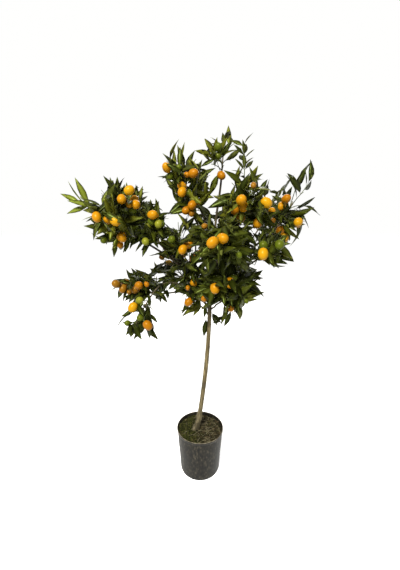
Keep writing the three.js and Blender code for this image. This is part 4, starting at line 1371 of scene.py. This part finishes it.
def ramp(material, value, stops):
    """A colour for each value, from stops of (value, colour)."""
    made = node(material, "ShaderNodeValToRGB")
    elements = made.color_ramp.elements
    while len(elements) < len(stops):
        elements.new(0.5)
    for element, (place, colour) in zip(elements, stops):
        element.position = place
        element.color = (*colour, 1)
    link(material, value, made.inputs["Fac"])
    return made.outputs["Color"]


def blend(material, share, a, b):
    """Colour a where the share is 0, b where it is 1."""
    made = node(material, "ShaderNodeMix", data_type="RGBA")
    link(material, share, made.inputs[MIX_SHARE])
    link(material, a, made.inputs[MIX_FIRST])
    link(material, b, made.inputs[MIX_SECOND])
    return made.outputs[MIX_RESULT]


def leaf_material(name, colour, roughness):
    """Leathery leaf with a dull yellow-green gloss."""
    material, shader = new_material(name, colour, roughness, 0.14, (0.72, 0.95, 0.25))
    add_bump(material, shader, object_noise(material, 90, 2.0), 0.12, 0.0006)
    return material


def fruit_material(name, colour):
    """Rind with fine pores."""
    material, shader = new_material(name, colour, 0.34, 0.09, (1, 0.85, 0.4))
    add_bump(material, shader, object_noise(material, 900, 1.0), 0.3, 0.0003)
    return material


# Upper and lower side of the leaves of each tone.
LEAF_COLOURS = {
    "dark": ((0.00606, 0.0076, 0.000592), (0.0152, 0.0175, 0.00295)),
    "mid": ((0.0137, 0.016, 0.00118), (0.0266, 0.0291, 0.00503)),
    "olive": ((0.0323, 0.0335, 0.00237), (0.0456, 0.0454, 0.00714)),
    "fresh": ((0.0446, 0.0482, 0.00531), (0.0594, 0.0624, 0.0118)),
    "young": ((0.0475, 0.0568, 0.00591), (0.0713, 0.0795, 0.0129)),
}
FRUIT_COLOURS = {
    "orange": (0.163, 0.0702, 0.000829),
    "deep": (0.128, 0.0468, 0.000533),
    "golden": (0.178, 0.0881, 0.0013),
    # dull: orange darkened as painted shade, for fruit that hang in the crown's shade.
    "dull": (0.0866, 0.0372, 0.00222),
    "green": (0.0266, 0.0352, 0.00178),
    "turning": (0.0693, 0.0716, 0.00533),
}

# Stops of each ramp of colour.
BARK_TAN = (
    (0.34, (0.0186, 0.0136, 0.00428)),
    (0.52, (0.0541, 0.0401, 0.015)),
    (0.7, (0.128, 0.0999, 0.0485)),
)
BARK_DARK = (
    (0.34, (0.00929, 0.0068, 0.00286)),
    (0.55, (0.0247, 0.0182, 0.00714)),
    (0.75, (0.0541, 0.0416, 0.0185)),
)
BARK_GREY = (
    (0.3, (0.0139, 0.0121, 0.00571)),
    (0.55, (0.0425, 0.0355, 0.0185)),
    (0.78, (0.1, 0.0869, 0.0536)),
)


BARK_GREYS = (0.25, 0.5)  # heights between which the bark turns grey on its way down


def bark_material(name, shade):
    """Smooth olive-brown young bark with fine upright streaks and dark blots, greyer towards the soil. Its
    colour is multiplied by shade, which paints shade on the bark where it is below 1.
    """
    material, shader = new_material(name, (0.0657, 0.0499, 0.0193), 0.8, 0.2)
    streaks = object_noise(material, 26, 6.0, (6, 6, 0.7))
    patches = object_noise(material, 14, 3.0, (1, 1, 0.5))
    blots = rescale(material, object_noise(material, 22, 4.0, (1, 1, 0.8)), 0.56, 0.68, 0.0, 0.85)
    upper = blend(material, blots, ramp(material, streaks, BARK_TAN), ramp(material, streaks, BARK_DARK))
    low = rescale(material, object_axis(material, "Z"), *BARK_GREYS, 0.6, -0.25)
    greying = add_up(material, patches, 0.5, low)
    colour = blend(material, greying, upper, ramp(material, streaks, BARK_GREY))
    # The colour times shade: painted shade, which darkens the boughs that stand in the crown's shadow.
    shaded = node(material, "ShaderNodeMix", data_type="RGBA", blend_type="MULTIPLY")
    shaded.inputs[MIX_SHARE].default_value = 1
    link(material, colour, shaded.inputs[MIX_FIRST])
    shaded.inputs[MIX_SECOND].default_value = (shade, shade, shade, 1)
    link(material, shaded.outputs[MIX_RESULT], shader.inputs["Base Color"])
    add_bump(material, shader, streaks, 0.5, 0.0012)
    return material


POT_PLASTIC = (
    (0.35, (0.0014, 0.0012, 0.0008)),
    (0.56, (0.0068, 0.006, 0.0039)),
    (0.74, (0.033, 0.0285, 0.019)),
)
POT_DUST = ((0.3, (0.0328, 0.0274, 0.0188)), (0.7, (0.164, 0.141, 0.1)))


POT_DUSTY = (0.2425, 0.2448)  # heights between which the dust on the lip grows thick


def pot_material():
    """Thin dark grey plastic with scuffs, and pale dust on top of the lip."""
    material, shader = new_material("pot_plastic", (0.0131, 0.0128, 0.0112), 0.55, 0.11)
    scuffs = object_noise(material, 95, 9.0, (1, 1, 0.5))
    plastic = ramp(material, scuffs, POT_PLASTIC)
    dust = ramp(material, scuffs, POT_DUST)
    high = rescale(material, object_axis(material, "Z"), *POT_DUSTY, 0.0, 0.9)
    link(material, blend(material, high, plastic, dust), shader.inputs["Base Color"])
    add_bump(material, shader, object_noise(material, 90, 5.0), 0.25, 0.001)
    return material


SOIL_BROWN = (
    (0.3, (0.0026, 0.002, 0.0009)),
    (0.55, (0.0115, 0.0088, 0.0043)),
    (0.75, (0.044, 0.0355, 0.0185)),
)
SOIL_GREEN = (
    (0.3, (0.0012, 0.0013, 0.0003)),
    (0.52, (0.0068, 0.0072, 0.0016)),
    (0.75, (0.05, 0.047, 0.014)),
)


SOIL_FILM = (0.02, -0.04)  # from where to where, on X, the green film grows thick


def soil_material():
    """Dark crumbly mix, with a green film of algae on its left side."""
    material, shader = new_material("soil_mix", (0.013, 0.00916, 0.00403), 0.95, 0.05)
    crumbs = object_noise(material, 120, 10.0)
    brown = ramp(material, crumbs, SOIL_BROWN)
    green = ramp(material, crumbs, SOIL_GREEN)
    left = rescale(material, object_axis(material, "X"), *SOIL_FILM, -0.25, 0.6)
    film = add_up(material, object_noise(material, 30, 3.0), 1, left)
    link(material, blend(material, film, brown, green), shader.inputs["Base Color"])
    add_bump(material, shader, crumbs, 0.9, 0.004)
    return material


def litter_material(name, colour, roughness=0.85):
    """Dull dry plant matter."""
    material, shader = new_material(name, colour, roughness, 0.05)
    add_bump(material, shader, object_noise(material, 400, 3.0), 0.3, 0.0005)
    return material


# ---- Pieces ----

# Knots of the trunk: share of its length, turn, width, and how far they stand out.
KNOTS = (
    (0.03, 1.1, 0.014, 0.34),
    (0.055, 4.4, 0.012, 0.4),
    (0.09, 3.2, 0.014, 0.26),
    (0.13, 5.4, 0.008, 0.22),
    (0.33, 5.2, 0.008, 0.18),
    (0.53, 4.6, 0.009, 0.26),
    (0.545, 1.8, 0.008, 0.2),
    (0.62, 0.4, 0.007, 0.16),
    (0.74, 2.6, 0.008, 0.2),
)
TRUNK_SIDES = 36
TRUNK_STEPS = 260
BOUGH_SIDES = 14
BOUGH_STEPS = 44


def trunk_relief(share, turn):
    """A lobed foot, fine ridges and lumps, and the knots."""
    lobes = 0.17 * math.exp(-share / 0.045) * math.cos(3 * turn + 0.6)
    height = share * FORK_HEIGHT
    ridges = noise.noise(Vector((2.4 * math.cos(turn), 2.4 * math.sin(turn), 14 * height)))
    lumps = noise.noise(Vector((math.cos(turn), math.sin(turn) + 7, 34 * height)))
    size = 1 + lobes + 0.045 * ridges + (0.035 + 0.15 * math.exp(-share / 0.08)) * lumps
    for place, side, width, proud in KNOTS:
        around = math.cos(turn - side) - 1
        size += proud * math.exp(-(((share - place) / width) ** 2) + 6 * around)
    return size


def build_trunk(material):
    """The trunk with its bark's relief. Its foot goes on a little way down into the soil."""
    below = SOIL_FOOT_DEPTH / (FORK_HEIGHT - SOIL_LEVEL)

    def level(share):
        return mix(-below, 1, share)

    form = bmesh.new()
    limb_form(
        form,
        Curve(lambda share: trunk_at(level(share))),
        lambda share: trunk_radius(max(0, level(share))),
        TRUNK_SIDES,
        TRUNK_STEPS,
        lambda share, turn: trunk_relief(max(0, level(share)), turn),
    )
    seat(form_to_mesh(form, "trunk_bark"), [material], ["trunk"])


def build_boughs(material):
    """The boughs with their bark's relief, joined into one piece."""
    form = bmesh.new()
    names = [name for name in limbs if name != "trunk"]
    for index, name in enumerate(names):

        def relief(share, turn, shift=(index + 1) * 3.1):
            ridges = noise.noise(Vector((2 * math.cos(turn) + shift, 2 * math.sin(turn), 9 * share)))
            lumps = noise.noise(Vector((math.cos(turn) - shift, math.sin(turn), 26 * share)))
            return 1 + 0.05 * ridges + 0.06 * lumps

        limb_form(form, limbs[name].curve, limbs[name].radius, BOUGH_SIDES, BOUGH_STEPS, relief)
    seat(form_to_mesh(form, "boughs_bark"), [material], names)


def build_twigs(growth, bark):
    """Every stem, shoot and finer twig, with the calyxes of the fruit."""
    twigs = Pile()
    for stem in growth.stems:
        twig_into(twigs, stem, 0)
    for twig in growth.twigs:
        twig_into(twigs, twig, 1)
    for fruit in growth.fruits:
        calyx_into(twigs, fruit, 1)
    green_bark = litter_material("twig_bark", (0.035, 0.042, 0.012), 0.6)
    twigs.build("twigs", [bark, green_bark])


def build_leaves(growth, dice):
    """Every leaf. They stand for the masses of foliage."""
    materials = []
    for tone, (upper, lower) in LEAF_COLOURS.items():
        materials.append(leaf_material("leaf_" + tone, upper, 0.36))
        materials.append(leaf_material("leaf_" + tone + "_below", lower, 0.55))
    tones = list(LEAF_COLOURS)
    leaves = Pile()
    for leaf in growth.leaves:
        leaf_into(leaves, leaf, 2 * tones.index(leaf.tone), dice)
    leaves.build("leaves", materials, [mass.node for mass in masses])


# How likely each colour of rind is. The smaller fruit and the fruit of the shaded masses take the deep and
# dull rinds more often: painted shade, for fruit inside the crown.
RIPE_RINDS = {"orange": 0.55, "deep": 0.2, "golden": 0.25}
SMALL_RINDS = {"orange": 0.3, "deep": 0.4, "dull": 0.3}
SHADED_RINDS = {"deep": 0.3, "dull": 0.7}
GREEN_RINDS = {"green": 0.75, "turning": 0.25}


def rind_chances(fruit):
    """Which of these tables a fruit's rind is picked from."""
    if not fruit.ripe:
        return GREEN_RINDS
    if fruit.shaded:
        return SHADED_RINDS
    return SMALL_RINDS if fruit.small else RIPE_RINDS


def build_fruit(growth, dice):
    """Every fruit, ripe and green."""
    kinds = list(FRUIT_COLOURS)
    fruits = Pile()
    for fruit in growth.fruits:
        kind = pick(rind_chances(fruit), dice)
        fruit_into(fruits, fruit, kinds.index(kind), dice)
    fruits.build("fruit", [fruit_material("rind_" + kind, FRUIT_COLOURS[kind]) for kind in kinds])


def build_pot():
    """A thin hollow pot with a small lip, a little out of round and dented."""
    foot, rim = POT_FOOT_DIAMETER / 2, POT_RIM_DIAMETER / 2

    def wall(height):
        return foot + (rim - POT_LIP - foot) * height / POT_HEIGHT

    lip = POT_HEIGHT - POT_LIP_DEPTH
    top = POT_HEIGHT
    profile = [(0, 0), (foot - 0.012, 0), (foot - 0.004, 0.0003), (foot - 0.001, 0.002)]
    profile.append((wall(0.006), 0.006))
    profile += [(wall(lip * share), lip * share) for share in (0.1, 0.25, 0.4, 0.55, 0.7, 0.85, 0.96)]
    profile += [
        (wall(lip), lip),
        (rim - 0.0008, lip + 0.0012),
        (rim, lip + 0.0024),
        (rim, top - 0.0022),
        (rim - 0.0006, top - 0.0006),
        (rim - 0.0018, top),
        (wall(top) - 0.0008, top - 0.0008),
        (wall(top) - POT_WALL, top - 0.003),
    ]
    profile += [(wall(top * share) - POT_WALL, top * share) for share in (0.9, 0.6, 0.3, 0.03)]
    profile += [(foot - 0.01, POT_WALL), (0, POT_WALL)]
    form = turned_form(profile, POT_SIDES)
    for vert in form.verts:
        x, y, height = vert.co
        if height > 0.004:
            swell = POT_OUT_OF_ROUND * (height / POT_HEIGHT) ** 2 * math.cos(2 * math.atan2(y, x) + 0.7)
            dents = POT_DENTS * noise.noise(Vector((x, y, height)) * 16) * min(1, height / 0.05)
            out = 1 + (swell + dents) / max(math.hypot(x, y), 0.05)
            vert.co.x, vert.co.y = x * out, y * out
    seat(form_to_mesh(form, "pot_shell"), [pot_material()], ["pot"])


def soil_height(x, y):
    """The height of the soil's lumpy surface, which sinks from the collar round the trunk to the wall."""
    radius = math.hypot(x, y)
    brim = POT_RIM_DIAMETER / 2 - POT_LIP - POT_WALL
    slope = SOIL_SLOPE * max(0.0, radius - SOIL_COLLAR) / (brim - SOIL_COLLAR)
    lumps = 0.0022 * noise.noise(Vector((x, y, 0)) * 42) + 0.0012 * noise.noise(Vector((x, y, 0.3)) * 130)
    return SOIL_LEVEL - slope + lumps


SOIL_SIDES = 96
SOIL_RINGS = 26


def build_soil():
    """The soil, whose surface is cut into rings and follows soil_height."""
    brim = POT_RIM_DIAMETER / 2 - POT_LIP - POT_WALL - 0.0016
    foot = POT_FOOT_DIAMETER / 2 - POT_WALL - GAP - 0.002
    profile = [(brim * ring / SOIL_RINGS, SOIL_LEVEL) for ring in range(SOIL_RINGS + 1)]
    profile += [(mix(foot, brim, 0.5), SOIL_LEVEL / 2), (foot, POT_WALL + 0.001), (0, POT_WALL + 0.001)]
    form = turned_form(profile, SOIL_SIDES)
    for vert in form.verts:
        if vert.co.z > SOIL_LEVEL - 0.001:
            vert.co.z = soil_height(vert.co.x, vert.co.y)
    seat(form_to_mesh(form, "soil_bed"), [soil_material()], ["soil"])


def strip_into(pile, start, direction, length, width, thick, number):
    """A thin chip or straw lying at a place, bowed a little along its length."""
    across = unit(np.cross(direction, UP))
    up = np.cross(across, direction)
    points = []
    for step in range(4):
        share = step / 3
        bow = up * LITTER_BOW * length * math.sin(math.pi * share)
        centre = start + direction * length * (share - 0.5) + bow
        narrow = 1 - 0.5 * abs(2 * share - 1)
        for side, rise in ((-1, -1), (1, -1), (1, 1), (-1, 1)):
            points.append(centre + across * side * width / 2 * narrow + up * rise * thick / 2)
    pile.add(points, [tuple(reversed(face)) for face in rings_to_faces(4, 4)], number)


LITTER_COUNT = 260
LITTER_BRIM = POT_RIM_DIAMETER / 2 - 0.012  # how far out litter and moss lie
STRAW_SHARE = 0.35
# Lengths, widths and thickness.
STRAW = ((0.012, 0.055), (0.0008, 0.0018), 0.0009)
CHIP = ((0.004, 0.022), (0.0015, 0.008), 0.0016)
LITTER_BOW = 0.06
MOSS_TUFTS = 210
MOSS_BLADES = (14, 26)
MOSS_BLADE_FACES = ((0, 2, 3), (2, 1, 3), (1, 0, 3), (0, 1, 2))


def place_on_soil(dice):
    """A place at random between the trunk's foot and the pot's wall."""
    while True:
        x, y = dice.uniform(-LITTER_BRIM, LITTER_BRIM), dice.uniform(-LITTER_BRIM, LITTER_BRIM)
        if math.hypot(x, y) < LITTER_BRIM and math.hypot(x + 0.02, y) > 0.026:
            return x, y


def build_litter(dice):
    """Straw and bark chips on the soil, thickest to the right."""
    litter = Pile()
    for _ in range(LITTER_COUNT):
        x, y = place_on_soil(dice)
        if x < -0.01 and dice.random() < 0.75:
            continue
        turn = dice.uniform(0, math.pi)
        direction = unit(np.array([math.cos(turn), math.sin(turn), dice.uniform(-0.12, 0.12)]))
        straw = dice.random() < STRAW_SHARE
        lengths, widths, thick = STRAW if straw else CHIP
        length, width = dice.uniform(*lengths), dice.uniform(*widths)
        start = np.array([x, y, soil_height(x, y) + 0.0012])
        number = 0 if straw else dice.choice((1, 1, 2))
        strip_into(litter, start, direction, length, width, thick, number)
    materials = [
        litter_material("straw", (0.086, 0.076, 0.045)),
        litter_material("bark_chip", (0.0222, 0.0159, 0.00689)),
        litter_material("dry_leaf", (0.047, 0.038, 0.021)),
    ]
    litter.build("litter", materials)


def build_moss(dice):
    """Tufts of moss on the soil, thickest to the left."""
    moss = Pile()
    for _ in range(MOSS_TUFTS):
        x, y = place_on_soil(dice)
        if x > -0.002 and dice.random() < 0.8:
            continue
        for blade in range(dice.randint(*MOSS_BLADES)):
            angle, away = dice.uniform(0, FULL_TURN), dice.uniform(0, 0.011)
            out = np.array([math.cos(angle), math.sin(angle), 0])
            side = np.array([-math.sin(angle), math.cos(angle), 0])
            blade_x, blade_y = x + away * out[0], y + away * out[1]
            if math.hypot(blade_x, blade_y) > LITTER_BRIM:
                continue
            root = np.array([blade_x, blade_y, soil_height(blade_x, blade_y) - 0.0005])
            tip = root + unit(out * dice.uniform(0.2, 1.1) + UP) * dice.uniform(0.003, 0.0085)
            wide = side * dice.uniform(0.0006, 0.0014)
            corners = [root - wide, root + wide, root + out * 0.0004, tip]
            moss.add(corners, MOSS_BLADE_FACES, blade % 2)
    materials = [
        litter_material("moss", (0.0095, 0.0115, 0.001)),
        litter_material("moss_bright", (0.052, 0.056, 0.011)),
    ]
    moss.build("moss", materials)


# ---- Surroundings ----

STUDIO_COLOUR = (1.0, 1.0, 0.99)
STUDIO_LIGHT = 1.0
FLOOR_SHADE = 0.8
FLOOR_SIZE = 60
CAMERA_TILT = 78  # degrees up from straight down
CAMERA_LENS = 16.93
CAMERA_SENSOR = 36
# Each light: name, place, target, size, power, colour.
LIGHTS = (
    ("key", (-0.9, -2.4, 3.3), (0, 0, 1.2), 1.0, 500, (1, 0.98, 0.92)),
    ("fill", (2.4, -2.2, 1.6), (0, 0, 1.1), 2.2, 18, (1, 0.98, 0.95)),
    ("back", (0.8, 3.0, 3.2), (0, 0, 1.3), 2.0, 80, (1, 1, 1)),
)


def build_stage():
    """A pale floor that glows as much as the studio's light falls short on it, so no horizon shows."""
    material, shader = new_material("pale_floor", (FLOOR_SHADE,) * 3, 0.9)
    shader.inputs["Emission Color"].default_value = (*STUDIO_COLOUR, 1)
    shader.inputs["Emission Strength"].default_value = STUDIO_LIGHT * (1 - FLOOR_SHADE)
    add_bump(material, shader, object_noise(material, 40, 2.0), 0.02, 0.001)
    form = bmesh.new()
    bmesh.ops.create_grid(form, x_segments=1, y_segments=1, size=FLOOR_SIZE)
    mesh = bpy.data.meshes.new("floor")
    form.to_mesh(mesh)
    form.free()
    mesh.materials.append(material)
    floor = bpy.data.objects.new("floor", mesh)
    bpy.context.scene.collection.objects.link(floor)

    world = bpy.data.worlds.new("studio")
    bpy.context.scene.world = world
    world.use_nodes = True
    background = world.node_tree.nodes["Background"]
    background.inputs["Color"].default_value = (*STUDIO_COLOUR, 1)
    background.inputs["Strength"].default_value = STUDIO_LIGHT


def add_light(name, place, target, size, power, colour):
    """A soft square light that is turned to its target."""
    light = bpy.data.lights.new(name, "AREA")
    light.size = size
    light.energy = power
    light.color = colour
    lamp = bpy.data.objects.new(name, light)
    lamp.location = place
    lamp.rotation_euler = (Vector(target) - Vector(place)).to_track_quat("-Z", "Y").to_euler()
    bpy.context.scene.collection.objects.link(lamp)


def add_camera():
    """Looks at the crown from the front, at the crown's height."""
    camera = bpy.data.cameras.new("camera")
    camera.sensor_width = CAMERA_SENSOR
    camera.lens = CAMERA_LENS
    holder = bpy.data.objects.new("camera", camera)
    holder.location = CAMERA_PLACE
    holder.rotation_euler = (math.radians(CAMERA_TILT), 0, 0)
    bpy.context.scene.collection.objects.link(holder)
    bpy.context.scene.camera = holder


add_camera()
build_stage()
for light in LIGHTS:
    add_light(*light)
bpy.context.scene.view_settings.view_transform = "Standard"

bark = bark_material("bark", 1)
build_trunk(bark)
# The boughs' bark at 0.4 of the trunk's brightness: painted shade for the boughs inside the crown.
build_boughs(bark_material("bough_bark_painted_shade", 0.4))
growth = grow_crown()
build_twigs(growth, bark)
crown_dice = random.Random(5)
build_leaves(growth, crown_dice)
build_fruit(growth, crown_dice)
build_pot()
build_soil()
soil_dice = random.Random(77)
build_litter(soil_dice)
build_moss(soil_dice)
